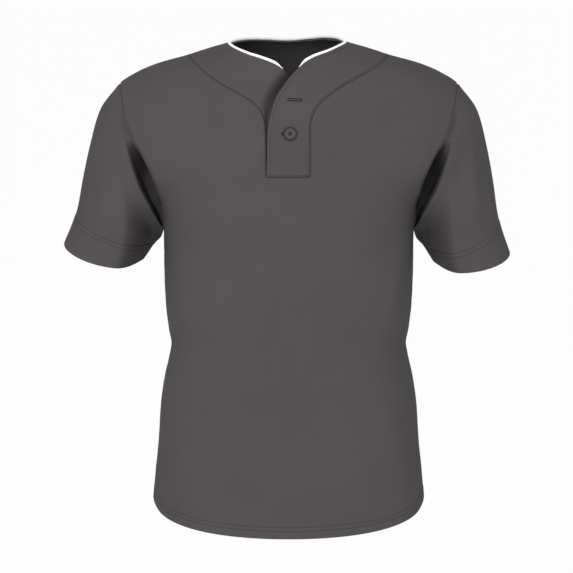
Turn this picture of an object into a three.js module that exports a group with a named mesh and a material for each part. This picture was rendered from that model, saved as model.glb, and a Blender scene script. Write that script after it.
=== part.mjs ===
// A short-sleeved baseball jersey with a two-button front, filled out as if it were worn.
// Sizes are in millimetres. +Z is up, +X is towards the wearer's left and -Y is the front.
// The origin is the middle of the neck, level with the neck ends of the shoulder seams.

import * as THREE from 'three';

// Cloth and seams
const CLOTH = 1.4;
const HEM_CLOTH = 2.2;
const SEAM_GAP = 0.4;

// Colours of the cloth, the piping and the buttons
const CHARCOAL = 0x575354;
const WHITE = 0xf4f4f2;
const BUTTON_GREY = 0x4c494a;

// Level cuts round the body, from the neck down. drop is measured below the neck ends of the shoulder
// seams, half is half the width, front and back are depths from the seam line, seam is how far that line
// lies behind the middle, and square is how much the cut is squared off.
const BODY = [
  { drop: -10, half: 72, front: 52, back: 38, seam: 10, square: 0 },
  { drop: 0, half: 87, front: 63, back: 47, seam: 10, square: 0 },
  { drop: 8, half: 114, front: 78, back: 59, seam: 10, square: 0 },
  { drop: 20, half: 151, front: 86, back: 73, seam: 10, square: 0 },
  { drop: 33, half: 197, front: 91, back: 83, seam: 10, square: 0 },
  { drop: 47, half: 229, front: 95, back: 89, seam: 10, square: 0 },
  { drop: 62, half: 252, front: 98, back: 94, seam: 9, square: 0 },
  { drop: 90, half: 275, front: 104, back: 104, seam: 7, square: 0 },
  { drop: 120, half: 284, front: 110, back: 112, seam: 5, square: 0.01 },
  { drop: 155, half: 274, front: 115, back: 118, seam: 2, square: 0.015 },
  { drop: 190, half: 242, front: 119, back: 121, seam: 1, square: 0.02 },
  { drop: 215, half: 214, front: 121, back: 121.5, seam: 0.5, square: 0.025 },
  { drop: 236, half: 197, front: 122, back: 121, seam: 0, square: 0.03 },
  { drop: 260, half: 188.5, front: 123, back: 119.5, seam: 0, square: 0.03 },
  { drop: 290, half: 186, front: 123, back: 117, seam: 0, square: 0.03 },
  { drop: 340, half: 185.5, front: 121, back: 113, seam: 0, square: 0.03 },
  { drop: 390, half: 183.5, front: 117, back: 108, seam: 0, square: 0.03 },
  { drop: 430, half: 179, front: 114, back: 105, seam: 0, square: 0.03 },
  { drop: 450, half: 176.5, front: 113, back: 104, seam: 0, square: 0.03 },
  { drop: 470, half: 178.5, front: 113, back: 104, seam: 0, square: 0.03 },
  { drop: 500, half: 185, front: 114, back: 105, seam: 0, square: 0.03 },
  { drop: 540, half: 191, front: 115, back: 107, seam: 0, square: 0.03 },
  { drop: 600, half: 195, front: 117, back: 111, seam: 0, square: 0.03 },
  { drop: 650, half: 200, front: 119, back: 115, seam: 0, square: 0.03 },
  { drop: 690, half: 203, front: 120, back: 117, seam: 0, square: 0.03 },
  { drop: 740, half: 204, front: 120, back: 118, seam: 0, square: 0.03 },
];

// Hem: a shirt tail, lower at the middle of the front and back than at the side seams
const HEM_SIDE_DROP = 685;
const HEM_TAIL = 44;
const HEM_TURN = 17;
const HEM_EASE = 1;

// Armhole: half the width across the front and the back panel, from the shoulder point to the underarm
const ARMHOLE = [
  { drop: 62, across_front: 252, across_back: 252 },
  { drop: 76, across_front: 249.5, across_back: 251 },
  { drop: 92, across_front: 246.5, across_back: 249 },
  { drop: 115, across_front: 240, across_back: 246 },
  { drop: 140, across_front: 231, across_back: 240 },
  { drop: 165, across_front: 220, across_back: 230 },
  { drop: 190, across_front: 209, across_back: 217 },
  { drop: 215, across_front: 200, across_back: 204 },
  { drop: 236, across_front: 197, across_back: 197 },
];
const SHOULDER_DROP = 62;
const UNDERARM_DROP = 236;

// Neck and front yokes, seen from the front: across is towards the wearer's left
const YOKE_TOP_DROP = 19;
const PLACKET_DROP = 187.5;
const YOKE_SEAM_RIGHT = [
  { across: -33.5, drop: PLACKET_DROP },
  { across: -33.5, drop: 150 },
  { across: -35, drop: 114 },
  { across: -41, drop: 93 },
  { across: -54, drop: 79 },
  { across: -78, drop: 65 },
  { across: -100, drop: 53 },
  { across: -118, drop: 42 },
  { across: -133, drop: 30 },
  { across: -148.3, drop: YOKE_TOP_DROP },
];
const YOKE_SEAM_LEFT = [
  { across: 32, drop: PLACKET_DROP },
  { across: 32, drop: 150 },
  { across: 32, drop: 115 },
  { across: 36, drop: 97 },
  { across: 46, drop: 81 },
  { across: 62, drop: 68 },
  { across: 80, drop: 56 },
  { across: 99, drop: 46 },
  { across: 121, drop: 35 },
  { across: 135, drop: 27 },
  { across: 148.3, drop: YOKE_TOP_DROP },
];
const UNDERLAP_EDGE = [
  { across: 22, drop: PLACKET_DROP },
  { across: 22, drop: 130 },
  { across: 21, drop: 90 },
  { across: 17, drop: 62 },
  { across: 10, drop: 47 },
  { across: 1, drop: 39.5 },
  { across: -8, drop: 32 },
  { across: -17, drop: 26 },
  { across: -27, drop: 21.5 },
  { across: -47, drop: 15 },
  { across: -59, drop: 12 },
  { across: -70, drop: 8.5 },
  { across: -79, drop: 4.5 },
  { across: -87, drop: 0 },
];
const PLACKET_EDGE = [
  { across: -31.5, drop: PLACKET_DROP },
  { across: -31.5, drop: 150 },
  { across: -30.5, drop: 124 },
  { across: -26.5, drop: 98 },
  { across: -17, drop: 71 },
  { across: -8, drop: 57 },
  { across: 0, drop: 46 },
  { across: 10, drop: 35 },
  { across: 17, drop: 28 },
  { across: 25, drop: 21.5 },
  { across: 34, drop: 16.5 },
  { across: 44, drop: 12.5 },
  { across: 56, drop: 9 },
  { across: 67, drop: 5.5 },
  { across: 77, drop: 2.5 },
  { across: 87, drop: 0 },
];
const BACK_NECK = [
  { turn: 90, drop: 0 },
  { turn: 112, drop: -0.8 },
  { turn: 133, drop: -1.4 },
  { turn: 155, drop: -0.3 },
  { turn: 180, drop: 1.6 },
  { turn: 205, drop: -0.3 },
  { turn: 227, drop: -1.4 },
  { turn: 248, drop: -0.8 },
  { turn: 270, drop: 0 },
];

// A line on the back, from below a shoulder blade to the neck end of the shoulder seam, that parts the
// columns below the neck from those below the shoulder
const BACK_GUIDE = [
  { across: 118, drop: 212 },
  { across: 128, drop: 130 },
  { across: 127, drop: 60 },
  { across: 112, drop: 15 },
  { across: 87, drop: 0 },
];

// Front opening: how the placket stands over the underlap, and how both part above the closed button
const PLACKET_STEP = 1.4;
const UNDERLAP_SINK = 0.6;
const UNDERLAP_SLOPE = 1.2;
const PARTING_FROM_DROP = 125;
const PARTING_TO_DROP = 50;
const PLACKET_PARTING = 2;
const UNDERLAP_PARTING = 6;
const UNDERLAP_SINKS_FROM = -80;
const UNDERLAP_PARTS_FROM = -72;
const UNDERLAP_PARTS_TO = 2;

// Piping round the neck
const PIPING_RADIUS = 1.8;
const PIPING_GAP = 0.6;
const PIPING_RIGHT_END_DROP = 31;
const PIPING_LEFT_END_DROP = 29;

// Buttons: both are sewn to the underlap, and the lower one is through its hole in the placket
const BUTTON_RADIUS = 10.2;
const BUTTON_THICKNESS = 2.6;
const BUTTON_EDGE = 0.5;
const BUTTON_HOLE_RADIUS = 0.9;
const BUTTON_HOLE_SPREAD = 1.7;
const BUTTON_CLEARANCE = 0.6;
const LOWER_BUTTON = { across: 2, drop: 125 };
const UPPER_BUTTON = { across: 9, drop: 76 };

// Sleeves, from the armhole to the cuff. out and out_drop place the upper line and in and in_drop the
// underarm line, both seen from the front. front and back are depths from the line between them, which
// lies middle behind the body's middle, and sag is how far the foremost point hangs below that line.
const SLEEVE = [
  { along: 0, out: 252, out_drop: 62, in: 197, in_drop: 236, middle: 4.5, front: 62, back: 60, sag: 0 },
  { along: 0.2, out: 281.5, out_drop: 102, in: 194, in_drop: 257, middle: 5, front: 65, back: 64, sag: 2 },
  { along: 0.4, out: 296, out_drop: 152, in: 193, in_drop: 276, middle: 6, front: 65, back: 64, sag: 5 },
  { along: 0.6, out: 307, out_drop: 202, in: 196, in_drop: 294, middle: 7, front: 62, back: 62, sag: 8 },
  { along: 0.8, out: 316, out_drop: 250, in: 205, in_drop: 309, middle: 8, front: 59, back: 59, sag: 11 },
  { along: 0.9, out: 324, out_drop: 274, in: 211, in_drop: 318, middle: 8.5, front: 57, back: 57, sag: 12 },
  { along: 1, out: 336, out_drop: 303, in: 218, in_drop: 328, middle: 9, front: 55, back: 56, sag: 14 },
];
const SLEEVE_LEFT_LOWER = { out_drop: 14, out: -5, in_drop: 4 };
const SLEEVE_HEM = 33;
const SLEEVE_UPPER_LENGTH = 262;
const SLEEVE_UNDERARM_LENGTH = 104;
const SLEEVE_SETTLES_BY = 0.4;
const SLEEVE_ARMPIT_STEP = 2.3;
const ARMPIT_STEP_FROM = 0.2;
const ARMPIT_STEP_TO = 0.85;

// Folds of the sleeves, between two points given by the turn round the sleeve and the share of its
// length. side is 1 for the wearer's left and -1 for the right.
const SLEEVE_FOLDS = [
  { side: 1, turn: 118, along: 0.1, to_turn: 150, to_along: 0.5, width: 21, height: -6 },
  { side: -1, turn: 116, along: 0.1, to_turn: 150, to_along: 0.5, width: 21, height: -6 },
  { side: 1, turn: 52, along: 0.24, to_turn: 60, to_along: 0.72, width: 13, height: 3.5 },
  { side: 1, turn: 78, along: 0.2, to_turn: 84, to_along: 0.7, width: 14, height: -3 },
  { side: -1, turn: 60, along: 0.3, to_turn: 66, to_along: 0.8, width: 15, height: 2.5 },
  { side: 1, turn: -118, along: 0.12, to_turn: -148, to_along: 0.5, width: 21, height: -5 },
  { side: -1, turn: -116, along: 0.12, to_turn: -150, to_along: 0.5, width: 21, height: -5.5 },
  { side: 1, turn: -60, along: 0.25, to_turn: -72, to_along: 0.8, width: 15, height: 3 },
  { side: -1, turn: -52, along: 0.2, to_turn: -66, to_along: 0.75, width: 14, height: 3 },
];
const SLEEVE_MM_PER_DEGREE = 1.2;
const SLEEVE_MM_ALONG = 190;
const SLEEVE_FOLDS_START = 0.2;

// Folds of the body: soft ridges and troughs between two points given by turn and drop
const BODY_FOLDS = [
  { turn: 55, drop: 160, to_turn: 70, to_drop: 262, width: 15, height: -5 },
  { turn: -55, drop: 158, to_turn: -70, to_drop: 258, width: 15, height: -5 },
  { turn: 124, drop: 165, to_turn: 108, to_drop: 265, width: 17, height: -4 },
  { turn: -125, drop: 168, to_turn: -108, to_drop: 262, width: 17, height: -4 },
  { turn: 88, drop: 452, to_turn: 52, to_drop: 438, width: 13, height: -3.5 },
  { turn: -88, drop: 454, to_turn: -50, to_drop: 442, width: 13, height: -3.5 },
  { turn: 92, drop: 452, to_turn: 128, to_drop: 440, width: 14, height: -3 },
  { turn: -92, drop: 454, to_turn: -126, to_drop: 444, width: 14, height: -3 },
  { turn: 44, drop: 520, to_turn: 58, to_drop: 690, width: 26, height: 4 },
  { turn: -46, drop: 530, to_turn: -56, to_drop: 690, width: 24, height: 3 },
  { turn: 62, drop: 290, to_turn: 48, to_drop: 430, width: 20, height: 3 },
  { turn: -64, drop: 300, to_turn: -52, to_drop: 425, width: 18, height: 2.5 },
  { turn: 70, drop: 545, to_turn: 76, to_drop: 690, width: 16, height: -3 },
  { turn: -70, drop: 560, to_turn: -75, to_drop: 690, width: 15, height: -2.5 },
  { turn: 135, drop: 230, to_turn: 158, to_drop: 420, width: 22, height: -3.5 },
  { turn: -138, drop: 240, to_turn: -160, to_drop: 410, width: 20, height: -3 },
  { turn: 150, drop: 500, to_turn: 146, to_drop: 690, width: 24, height: 4 },
  { turn: -148, drop: 510, to_turn: -150, to_drop: 690, width: 26, height: 3.5 },
];
const BODY_MM_PER_DEGREE = 2.6;
const FOLD_END_SHARE = 0.25;

// How finely each piece is drawn
const ARM_STEPS = 20;
const ARM_UPPER_STEPS = 16;
const SIDE_STEPS = 16;
const CHEST_COLUMNS = 6;
const YOKE_COLUMNS = 4;
const PLACKET_COLUMNS = 4;
const NECK_COLUMNS = 10;
const SLEEVE_ROWS = 9;
const SLEEVE_HEM_ROWS = [0.02, 0.5, 1];
const PIPING_SIDES = 8;
const FINE_STEPS = 200;

const RADIAN = Math.PI / 180;
const QUARTER = Math.PI / 2;

// A smooth curve through a column of a table, with slopes that never overshoot the rows
function curve(rows, key, name) {
  const at = rows.map((row) => row[key]);
  const value = rows.map((row) => row[name]);
  const last = rows.length - 1;
  const rise = at.slice(1).map((next, i) => (value[i + 1] - value[i]) / (next - at[i]));
  const slope = at.map((_, i) => {
    if (i === 0) return rise[0];
    if (i === last) return rise[last - 1];
    if (rise[i - 1] * rise[i] <= 0) return 0;
    const before = at[i] - at[i - 1];
    const after = at[i + 1] - at[i];
    const first = 2 * after + before;
    const second = after + 2 * before;
    return (first + second) / (first / rise[i - 1] + second / rise[i]);
  });
  return (x) => {
    const inside = Math.min(Math.max(x, at[0]), at[last]);
    let i = 0;
    while (i < last - 1 && inside > at[i + 1]) i += 1;
    const span = at[i + 1] - at[i];
    const t = (inside - at[i]) / span;
    const keep = 1 - t;
    return (
      value[i] * keep * keep * (1 + 2 * t) +
      value[i + 1] * t * t * (3 - 2 * t) +
      slope[i] * span * t * keep * keep -
      slope[i + 1] * span * t * t * keep
    );
  };
}

// Every named column of a table as a smooth curve
function curves(rows, key) {
  const names = Object.keys(rows[0]).filter((name) => name !== key);
  return Object.fromEntries(names.map((name) => [name, curve(rows, key, name)]));
}

function ease(from, to, x) {
  const t = Math.min(Math.max((x - from) / (to - from), 0), 1);
  return t * t * (3 - 2 * t);
}

const body = curves(BODY, 'drop');
const armhole = curves(ARMHOLE, 'drop');
const sleeve = curves(SLEEVE, 'along');

// A spot on the body's cloth is its turn round the body and its drop. Turn 0 is the middle of the front,
// a quarter turn is the wearer's left seam and half a turn is the middle of the back.
function bodySurface(turn, drop) {
  const square = body.square(drop);
  const across = (Math.sin(turn) + square * Math.sin(3 * turn)) / (1 - square);
  const forward = (Math.cos(turn) - square * Math.cos(3 * turn)) / (1 - square);
  const depth = Math.cos(turn) > 0 ? body.front(drop) : body.back(drop);
  return new THREE.Vector3(body.half(drop) * across, body.seam(drop) - depth * forward, -drop);
}

// The surface's outward direction, from its slopes along the turn and up the body
function bodyNormal(turn, drop) {
  const step = 0.002;
  const rise = 0.5;
  const round = bodySurface(turn + step, drop).sub(bodySurface(turn - step, drop));
  const up = bodySurface(turn, drop - rise).sub(bodySurface(turn, drop + rise));
  return round.cross(up).normalize();
}

// Height of one fold at a spot that lies x and y millimetres from its first end. A fold is a rounded
// ridge or trough along a line, and it fades towards the two ends of that line.
function foldHeight(x, y, run_x, run_y, fold) {
  const share = Math.min(Math.max((x * run_x + y * run_y) / (run_x * run_x + run_y * run_y), 0), 1);
  const distance = Math.hypot(x - share * run_x, y - share * run_y);
  const strength = FOLD_END_SHARE + (1 - FOLD_END_SHARE) * Math.sin(Math.PI * share);
  return fold.height * strength * Math.exp(-((distance / fold.width) ** 2));
}

// Degrees from one turn to another, the short way round
function degreesFrom(turn, to) {
  return (((((to - turn) % 360) + 540) % 360) + 360) % 360 - 180;
}

function bodyFolds(turn, drop) {
  return BODY_FOLDS.reduce((sum, fold) => sum + foldHeight(
    degreesFrom(fold.turn, turn / RADIAN) * BODY_MM_PER_DEGREE,
    drop - fold.drop,
    (fold.to_turn - fold.turn) * BODY_MM_PER_DEGREE,
    fold.to_drop - fold.drop,
    fold,
  ), 0);
}

// The sleeve's folds die out towards the armhole seam
function sleeveFolds(side, round, along) {
  return ease(0, SLEEVE_FOLDS_START, along) * SLEEVE_FOLDS.filter((fold) => fold.side === side)
    .reduce((sum, fold) => sum + foldHeight(
      degreesFrom(fold.turn, round / RADIAN) * SLEEVE_MM_PER_DEGREE,
      (along - fold.along) * SLEEVE_MM_ALONG,
      (fold.to_turn - fold.turn) * SLEEVE_MM_PER_DEGREE,
      (fold.to_along - fold.along) * SLEEVE_MM_ALONG,
      fold,
    ), 0);
}

// The turn, from one side seam to the other, at which the front lies a given distance across
function turnAt(across, drop) {
  const half = body.half(drop);
  const square = body.square(drop);
  const wanted = Math.min(Math.max(across / half, -1), 1);
  if (Math.abs(wanted) === 1) return wanted * QUARTER;
  let turn = Math.asin(wanted);
  for (let i = 0; i < 8; i += 1) {
    const off = (Math.sin(turn) + square * Math.sin(3 * turn)) / (1 - square) - wanted;
    const slope = (Math.cos(turn) + 3 * square * Math.cos(3 * turn)) / (1 - square);
    turn -= off / Math.max(slope, 0.05);
  }
  return Math.min(Math.max(turn, -QUARTER), QUARTER);
}

function hemDrop(turn) {
  return HEM_SIDE_DROP + HEM_TAIL * Math.abs(Math.cos(turn));
}

// Spots spaced evenly along a line on the cloth
function evenSpots(lineAt, steps) {
  const fine = Array.from({ length: FINE_STEPS + 1 }, (_, i) => lineAt(i / FINE_STEPS));
  const points = fine.map(([turn, drop]) => bodySurface(turn, drop));
  const length = [0];
  for (let i = 1; i <= FINE_STEPS; i += 1) length.push(length[i - 1] + points[i].distanceTo(points[i - 1]));
  return Array.from({ length: steps + 1 }, (_, n) => {
    const wanted = (length[FINE_STEPS] * n) / steps;
    let i = 1;
    while (i < FINE_STEPS && length[i] < wanted) i += 1;
    const share = (wanted - length[i - 1]) / (length[i] - length[i - 1]);
    return [0, 1].map((k) => fine[i - 1][k] + share * (fine[i][k] - fine[i - 1][k]));
  });
}

// A line drawn through points that are given as seen from the front
function frontLine(points) {
  const along = [0];
  for (let i = 1; i < points.length; i += 1) {
    const step = Math.hypot(points[i].across - points[i - 1].across, points[i].drop - points[i - 1].drop);
    along.push(along[i - 1] + step);
  }
  const total = along[along.length - 1];
  const line = curves(points.map((point, i) => ({ ...point, along: along[i] / total })), 'along');
  return (share) => {
    const drop = line.drop(share);
    return [turnAt(line.across(share), drop), drop];
  };
}

const yokeSeamRight = frontLine(YOKE_SEAM_RIGHT);
const yokeSeamLeft = frontLine(YOKE_SEAM_LEFT);
const underlapEdge = frontLine(UNDERLAP_EDGE);
const placketEdge = frontLine(PLACKET_EDGE);
const backGuide = frontLine(BACK_GUIDE);
const backNeck = curves(BACK_NECK, 'turn');

// Round the armhole: 0 is the shoulder point, a half is the underarm, the front comes first.
// side is 1 for the wearer's left and -1 for the right.
function armholeSpot(side, turns) {
  const share = turns - Math.floor(turns);
  const front = share <= 0.5;
  const round = 2 * Math.PI * (front ? share : 1 - share);
  const drop = SHOULDER_DROP + ((UNDERARM_DROP - SHOULDER_DROP) * (1 - Math.cos(round))) / 2;
  const across = front ? armhole.across_front(drop) : armhole.across_back(drop);
  const turn = turnAt(across, drop);
  return [side * (front ? turn : Math.PI - turn), drop];
}

// A grid of spots that fills the space between four lines of spots
function fill(bottom, top, left, right) {
  const columns = bottom.length - 1;
  const rows = left.length - 1;
  return left.map((_, j) => bottom.map((__, i) => {
    const s = i / columns;
    const t = j / rows;
    return [0, 1].map((k) => (
      (1 - t) * bottom[i][k] + t * top[i][k] + (1 - s) * left[j][k] + s * right[j][k] -
      (1 - s) * (1 - t) * bottom[0][k] - s * (1 - t) * bottom[columns][k] -
      (1 - s) * t * top[0][k] - s * t * top[columns][k]
    ));
  }));
}

function between(from, to, steps) {
  return Array.from({ length: steps + 1 }, (_, i) => {
    const share = i / steps;
    return [0, 1].map((k) => from[k] + (to[k] - from[k]) * share);
  });
}

// Turns grids of spots into one closed wall of cloth. place gives each spot's point, outward normal and
// thickness. Open edges are drawn back by half a seam gap, so that neighbours stay apart.
function clothWall(grids, place, gap = SEAM_GAP) {
  const known = new Map();
  const spots = [];
  const corner = (spot) => {
    const key = spot.map((value) => value.toFixed(6)).join(' ');
    if (!known.has(key)) {
      known.set(key, spots.length);
      spots.push({ ...place(spot), inset: new THREE.Vector3() });
    }
    return known.get(key);
  };
  const faces = [];
  grids.forEach((grid) => {
    for (let j = 0; j + 1 < grid.length; j += 1) {
      for (let i = 0; i + 1 < grid[0].length; i += 1) {
        const [a, b] = [corner(grid[j][i]), corner(grid[j][i + 1])];
        const [d, c] = [corner(grid[j + 1][i]), corner(grid[j + 1][i + 1])];
        faces.push([a, b, c], [a, c, d]);
      }
    }
  });
  const edges = new Map();
  faces.forEach((face) => face.forEach((from, i) => {
    const to = face[(i + 1) % 3];
    if (edges.has(`${to} ${from}`)) edges.delete(`${to} ${from}`);
    else edges.set(`${from} ${to}`, [from, to]);
  }));
  edges.forEach(([from, to]) => {
    const run = new THREE.Vector3().subVectors(spots[to].point, spots[from].point);
    [from, to].forEach((i) => spots[i].inset.add(spots[i].normal.clone().cross(run).normalize()));
  });
  const shifted = (spot, side) => spot.point.clone()
    .addScaledVector(spot.inset.lengthSq() > 0 ? spot.inset.clone().normalize() : spot.inset, gap / 2)
    .addScaledVector(spot.normal, (side * spot.thickness) / 2);
  const points = [...spots.map((spot) => shifted(spot, 1)), ...spots.map((spot) => shifted(spot, -1))];
  const inner = spots.length;
  const triangles = faces.flatMap(([a, b, c]) => [a, b, c, inner + a, inner + c, inner + b]);
  edges.forEach(([a, b]) => triangles.push(b, a, inner + a, b, inner + a, inner + b));
  const geometry = new THREE.BufferGeometry().setFromPoints(points);
  geometry.setIndex(triangles);
  geometry.computeVertexNormals();
  return geometry;
}

function hemThickness(turn, drop) {
  return hemDrop(turn) - drop < HEM_TURN - HEM_EASE / 2 ? HEM_CLOTH : CLOTH;
}

// A spot's place on the body, raised by the folds and by a panel's own lift
function placeOnBody(lift = () => 0) {
  return ([turn, drop]) => {
    const base = bodySurface(turn, drop);
    const normal = bodyNormal(turn, drop);
    const point = base.clone().addScaledVector(normal, bodyFolds(turn, drop) + lift(base.x, drop));
    return { point, normal, thickness: hemThickness(turn, drop) };
  };
}

// The placket stands proud at its free edge and comes down flush at the yoke seam
function placketLift(across, drop) {
  const left = YOKE_SEAM_LEFT[0].across;
  const right = YOKE_SEAM_RIGHT[0].across;
  const share = Math.min(Math.max((across - right) / (left - right), 0), 1);
  const parting = ease(PARTING_FROM_DROP, PARTING_TO_DROP, drop);
  return PLACKET_STEP * (1 - share * share) + PLACKET_PARTING * parting * (1 - share);
}

// The underlap lies under the placket and falls away from it above the closed button
function underlapLift(across, drop) {
  const left = YOKE_SEAM_LEFT[0].across;
  const right = YOKE_SEAM_RIGHT[0].across;
  const share = Math.min(Math.max((across - right) / (left - right), 0), 1);
  const parting = ease(PARTING_FROM_DROP, PARTING_TO_DROP, drop);
  const under = ease(UNDERLAP_SINKS_FROM, right, across) * (UNDERLAP_SINK + UNDERLAP_SLOPE * share);
  const apart = parting * ease(UNDERLAP_PARTS_FROM, UNDERLAP_PARTS_TO, across);
  return -under - UNDERLAP_PARTING * apart;
}

const sidePoint = (side, drop) => [side * QUARTER, drop];

// The armhole's spots on the front or the back, from one step to another. Step 0 is the shoulder point
// and step ARM_STEPS is the underarm.
function armLine(side, back, from, to) {
  const count = Math.abs(to - from);
  return Array.from({ length: count + 1 }, (_, i) => {
    const share = (from + ((to - from) * i) / count) / (2 * ARM_STEPS);
    return armholeSpot(side, back ? 1 - share : share);
  });
}

function hemLine(fromTurn, toTurn, steps, above) {
  return between([fromTurn, 0], [toTurn, 0], steps).map(([turn]) => [turn, hemDrop(turn) - above]);
}

// The turned hem: rows at its edge and just below and above the line where its turning ends
function hemBand(fromTurn, toTurn, steps) {
  const rows = [0, HEM_TURN - HEM_EASE, HEM_TURN];
  return rows.map((above) => hemLine(fromTurn, toTurn, steps, above));
}

function sideSeam(side) {
  return between(sidePoint(side, HEM_SIDE_DROP - HEM_TURN), sidePoint(side, UNDERARM_DROP), SIDE_STEPS);
}

// Front: one piece from side seam to side seam, with the opening for the yokes and placket cut out.
// Its lower part runs from the hem to the foot of the placket, and its upper parts to the shoulders.
function frontPanel() {
  const seamRight = evenSpots(yokeSeamRight, ARM_UPPER_STEPS);
  const seamLeft = evenSpots(yokeSeamLeft, ARM_UPPER_STEPS);
  const armRight = armLine(-1, false, ARM_UPPER_STEPS, 0);
  const armLeft = armLine(1, false, ARM_UPPER_STEPS, 0);
  const chestRight = between(armRight[0], seamRight[0], CHEST_COLUMNS);
  const chestLeft = between(seamLeft[0], armLeft[0], CHEST_COLUMNS);
  const top = [
    ...armLine(-1, false, ARM_STEPS, ARM_UPPER_STEPS),
    ...chestRight.slice(1),
    ...between(seamRight[0], seamLeft[0], PLACKET_COLUMNS).slice(1),
    ...chestLeft.slice(1),
    ...armLine(1, false, ARM_UPPER_STEPS, ARM_STEPS).slice(1),
  ];
  const columns = top.length - 1;
  const shoulder = (side) => between(
    sidePoint(side, SHOULDER_DROP),
    sidePoint(side, YOKE_TOP_DROP),
    CHEST_COLUMNS,
  );
  return clothWall([
    hemBand(-QUARTER, QUARTER, columns),
    fill(hemLine(-QUARTER, QUARTER, columns, HEM_TURN), top, sideSeam(-1), sideSeam(1)),
    fill(chestRight, shoulder(-1), armRight, seamRight),
    fill(chestLeft, shoulder(1).reverse(), seamLeft, armLeft),
  ], placeOnBody());
}

function backNeckLine(fromTurn, toTurn) {
  return evenSpots((share) => {
    const turn = fromTurn + (toTurn - fromTurn) * share;
    return [turn * RADIAN, backNeck.drop(turn)];
  }, NECK_COLUMNS);
}

// Back: one piece, with side seams and armholes at its sides and the shoulder seams and neck on top
function backPanel() {
  const round = (spots) => spots.map(([turn, drop]) => [turn < 0 ? turn + 2 * Math.PI : turn, drop]);
  const guide = (side) => round(evenSpots((share) => {
    const [turn, drop] = backGuide(share);
    return [side * (Math.PI - turn), drop];
  }, ARM_UPPER_STEPS));
  const arm = (side, from, to) => round(armLine(side, true, from, to));
  const shoulder = (side) => round([
    ...between(sidePoint(side, SHOULDER_DROP), sidePoint(side, YOKE_TOP_DROP), CHEST_COLUMNS),
    ...between(sidePoint(side, YOKE_TOP_DROP), sidePoint(side, 0), YOKE_COLUMNS).slice(1),
  ]);
  const [guideLeft, guideRight] = [guide(1), guide(-1)];
  const [armLeft, armRight] = [arm(1, ARM_UPPER_STEPS, 0), arm(-1, ARM_UPPER_STEPS, 0)];
  const bladeLeft = between(armLeft[0], guideLeft[0], CHEST_COLUMNS + YOKE_COLUMNS);
  const bladeRight = between(guideRight[0], armRight[0], CHEST_COLUMNS + YOKE_COLUMNS);
  const middle = between(guideLeft[0], guideRight[0], NECK_COLUMNS);
  const top = [
    ...arm(1, ARM_STEPS, ARM_UPPER_STEPS),
    ...bladeLeft.slice(1),
    ...middle.slice(1),
    ...bladeRight.slice(1),
    ...arm(-1, ARM_UPPER_STEPS, ARM_STEPS).slice(1),
  ];
  const columns = top.length - 1;
  const hem = hemLine(QUARTER, 3 * QUARTER, columns, HEM_TURN);
  return clothWall([
    hemBand(QUARTER, 3 * QUARTER, columns),
    fill(hem, top, sideSeam(1), round(sideSeam(-1))),
    fill(bladeLeft, shoulder(1), armLeft, guideLeft),
    fill(middle, backNeckLine(90, 270), guideLeft, guideRight),
    fill(bladeRight, shoulder(-1).reverse(), guideRight, armRight),
  ], placeOnBody());
}

// Wearer's right yoke: from the shoulder seam down to the underlap, which carries the buttons
function rightYoke() {
  const seam = evenSpots(yokeSeamRight, ARM_UPPER_STEPS);
  const edge = evenSpots(underlapEdge, ARM_UPPER_STEPS);
  const foot = between(seam[0], edge[0], YOKE_COLUMNS);
  const shoulder = between(sidePoint(-1, YOKE_TOP_DROP), sidePoint(-1, 0), YOKE_COLUMNS);
  return clothWall([fill(foot, shoulder, seam, edge)], placeOnBody(underlapLift));
}

// Wearer's left yoke: from the shoulder seam down to the placket, which has the buttonholes
function leftYoke() {
  const seam = evenSpots(yokeSeamLeft, ARM_UPPER_STEPS);
  const edge = evenSpots(placketEdge, ARM_UPPER_STEPS);
  const foot = between(edge[0], seam[0], YOKE_COLUMNS);
  const shoulder = between(sidePoint(1, 0), sidePoint(1, YOKE_TOP_DROP), YOKE_COLUMNS);
  return clothWall([fill(foot, shoulder, edge, seam)], placeOnBody(placketLift));
}

// A ring of the sleeve: an ellipse-like loop through the upper line, the front, the underarm and the back
function sleeveRing(side, round, along) {
  const lower = side > 0 ? along * along : 0;
  const out = sleeve.out(along) + SLEEVE_LEFT_LOWER.out * lower;
  const out_drop = sleeve.out_drop(along) + SLEEVE_LEFT_LOWER.out_drop * lower;
  const in_drop = sleeve.in_drop(along) + SLEEVE_LEFT_LOWER.in_drop * lower;
  const share = (1 + Math.cos(round)) / 2;
  const depth = Math.sin(round) > 0 ? -sleeve.front(along) : sleeve.back(along);
  return new THREE.Vector3(
    side * (sleeve.in(along) + (out - sleeve.in(along)) * share),
    sleeve.middle(along) + depth * Math.abs(Math.sin(round)),
    -in_drop - (out_drop - in_drop) * share - sleeve.sag(along) * Math.sin(round),
  );
}

// A point of the sleeve's cloth before folding. The rings start as the armhole's own line and settle
// into the table's rings further down. Under the arm the sleeve stands a step clear of the body.
function sleeveSurface(side, round, along) {
  const point = sleeveRing(side, round, along);
  const fitted = 1 - ease(0, SLEEVE_SETTLES_BY, along);
  if (fitted > 0) {
    const seam = placeOnBody()(armholeSpot(side, round / (2 * Math.PI)));
    const low = (1 - Math.cos(round)) / 2;
    const step = SLEEVE_ARMPIT_STEP * ease(ARMPIT_STEP_FROM, ARMPIT_STEP_TO, low);
    seam.point.addScaledVector(seam.normal, step);
    point.addScaledVector(seam.point.sub(sleeveRing(side, round, 0)), fitted);
  }
  return point;
}

function sleeveNormal(side, round, along) {
  const step = 0.01;
  const near = Math.max(along - step, 0);
  const far = Math.min(along + step, 1);
  const about = sleeveSurface(side, round + step, along).sub(sleeveSurface(side, round - step, along));
  const down = sleeveSurface(side, round, far).sub(sleeveSurface(side, round, near));
  return about.cross(down).multiplyScalar(side).normalize();
}

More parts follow.
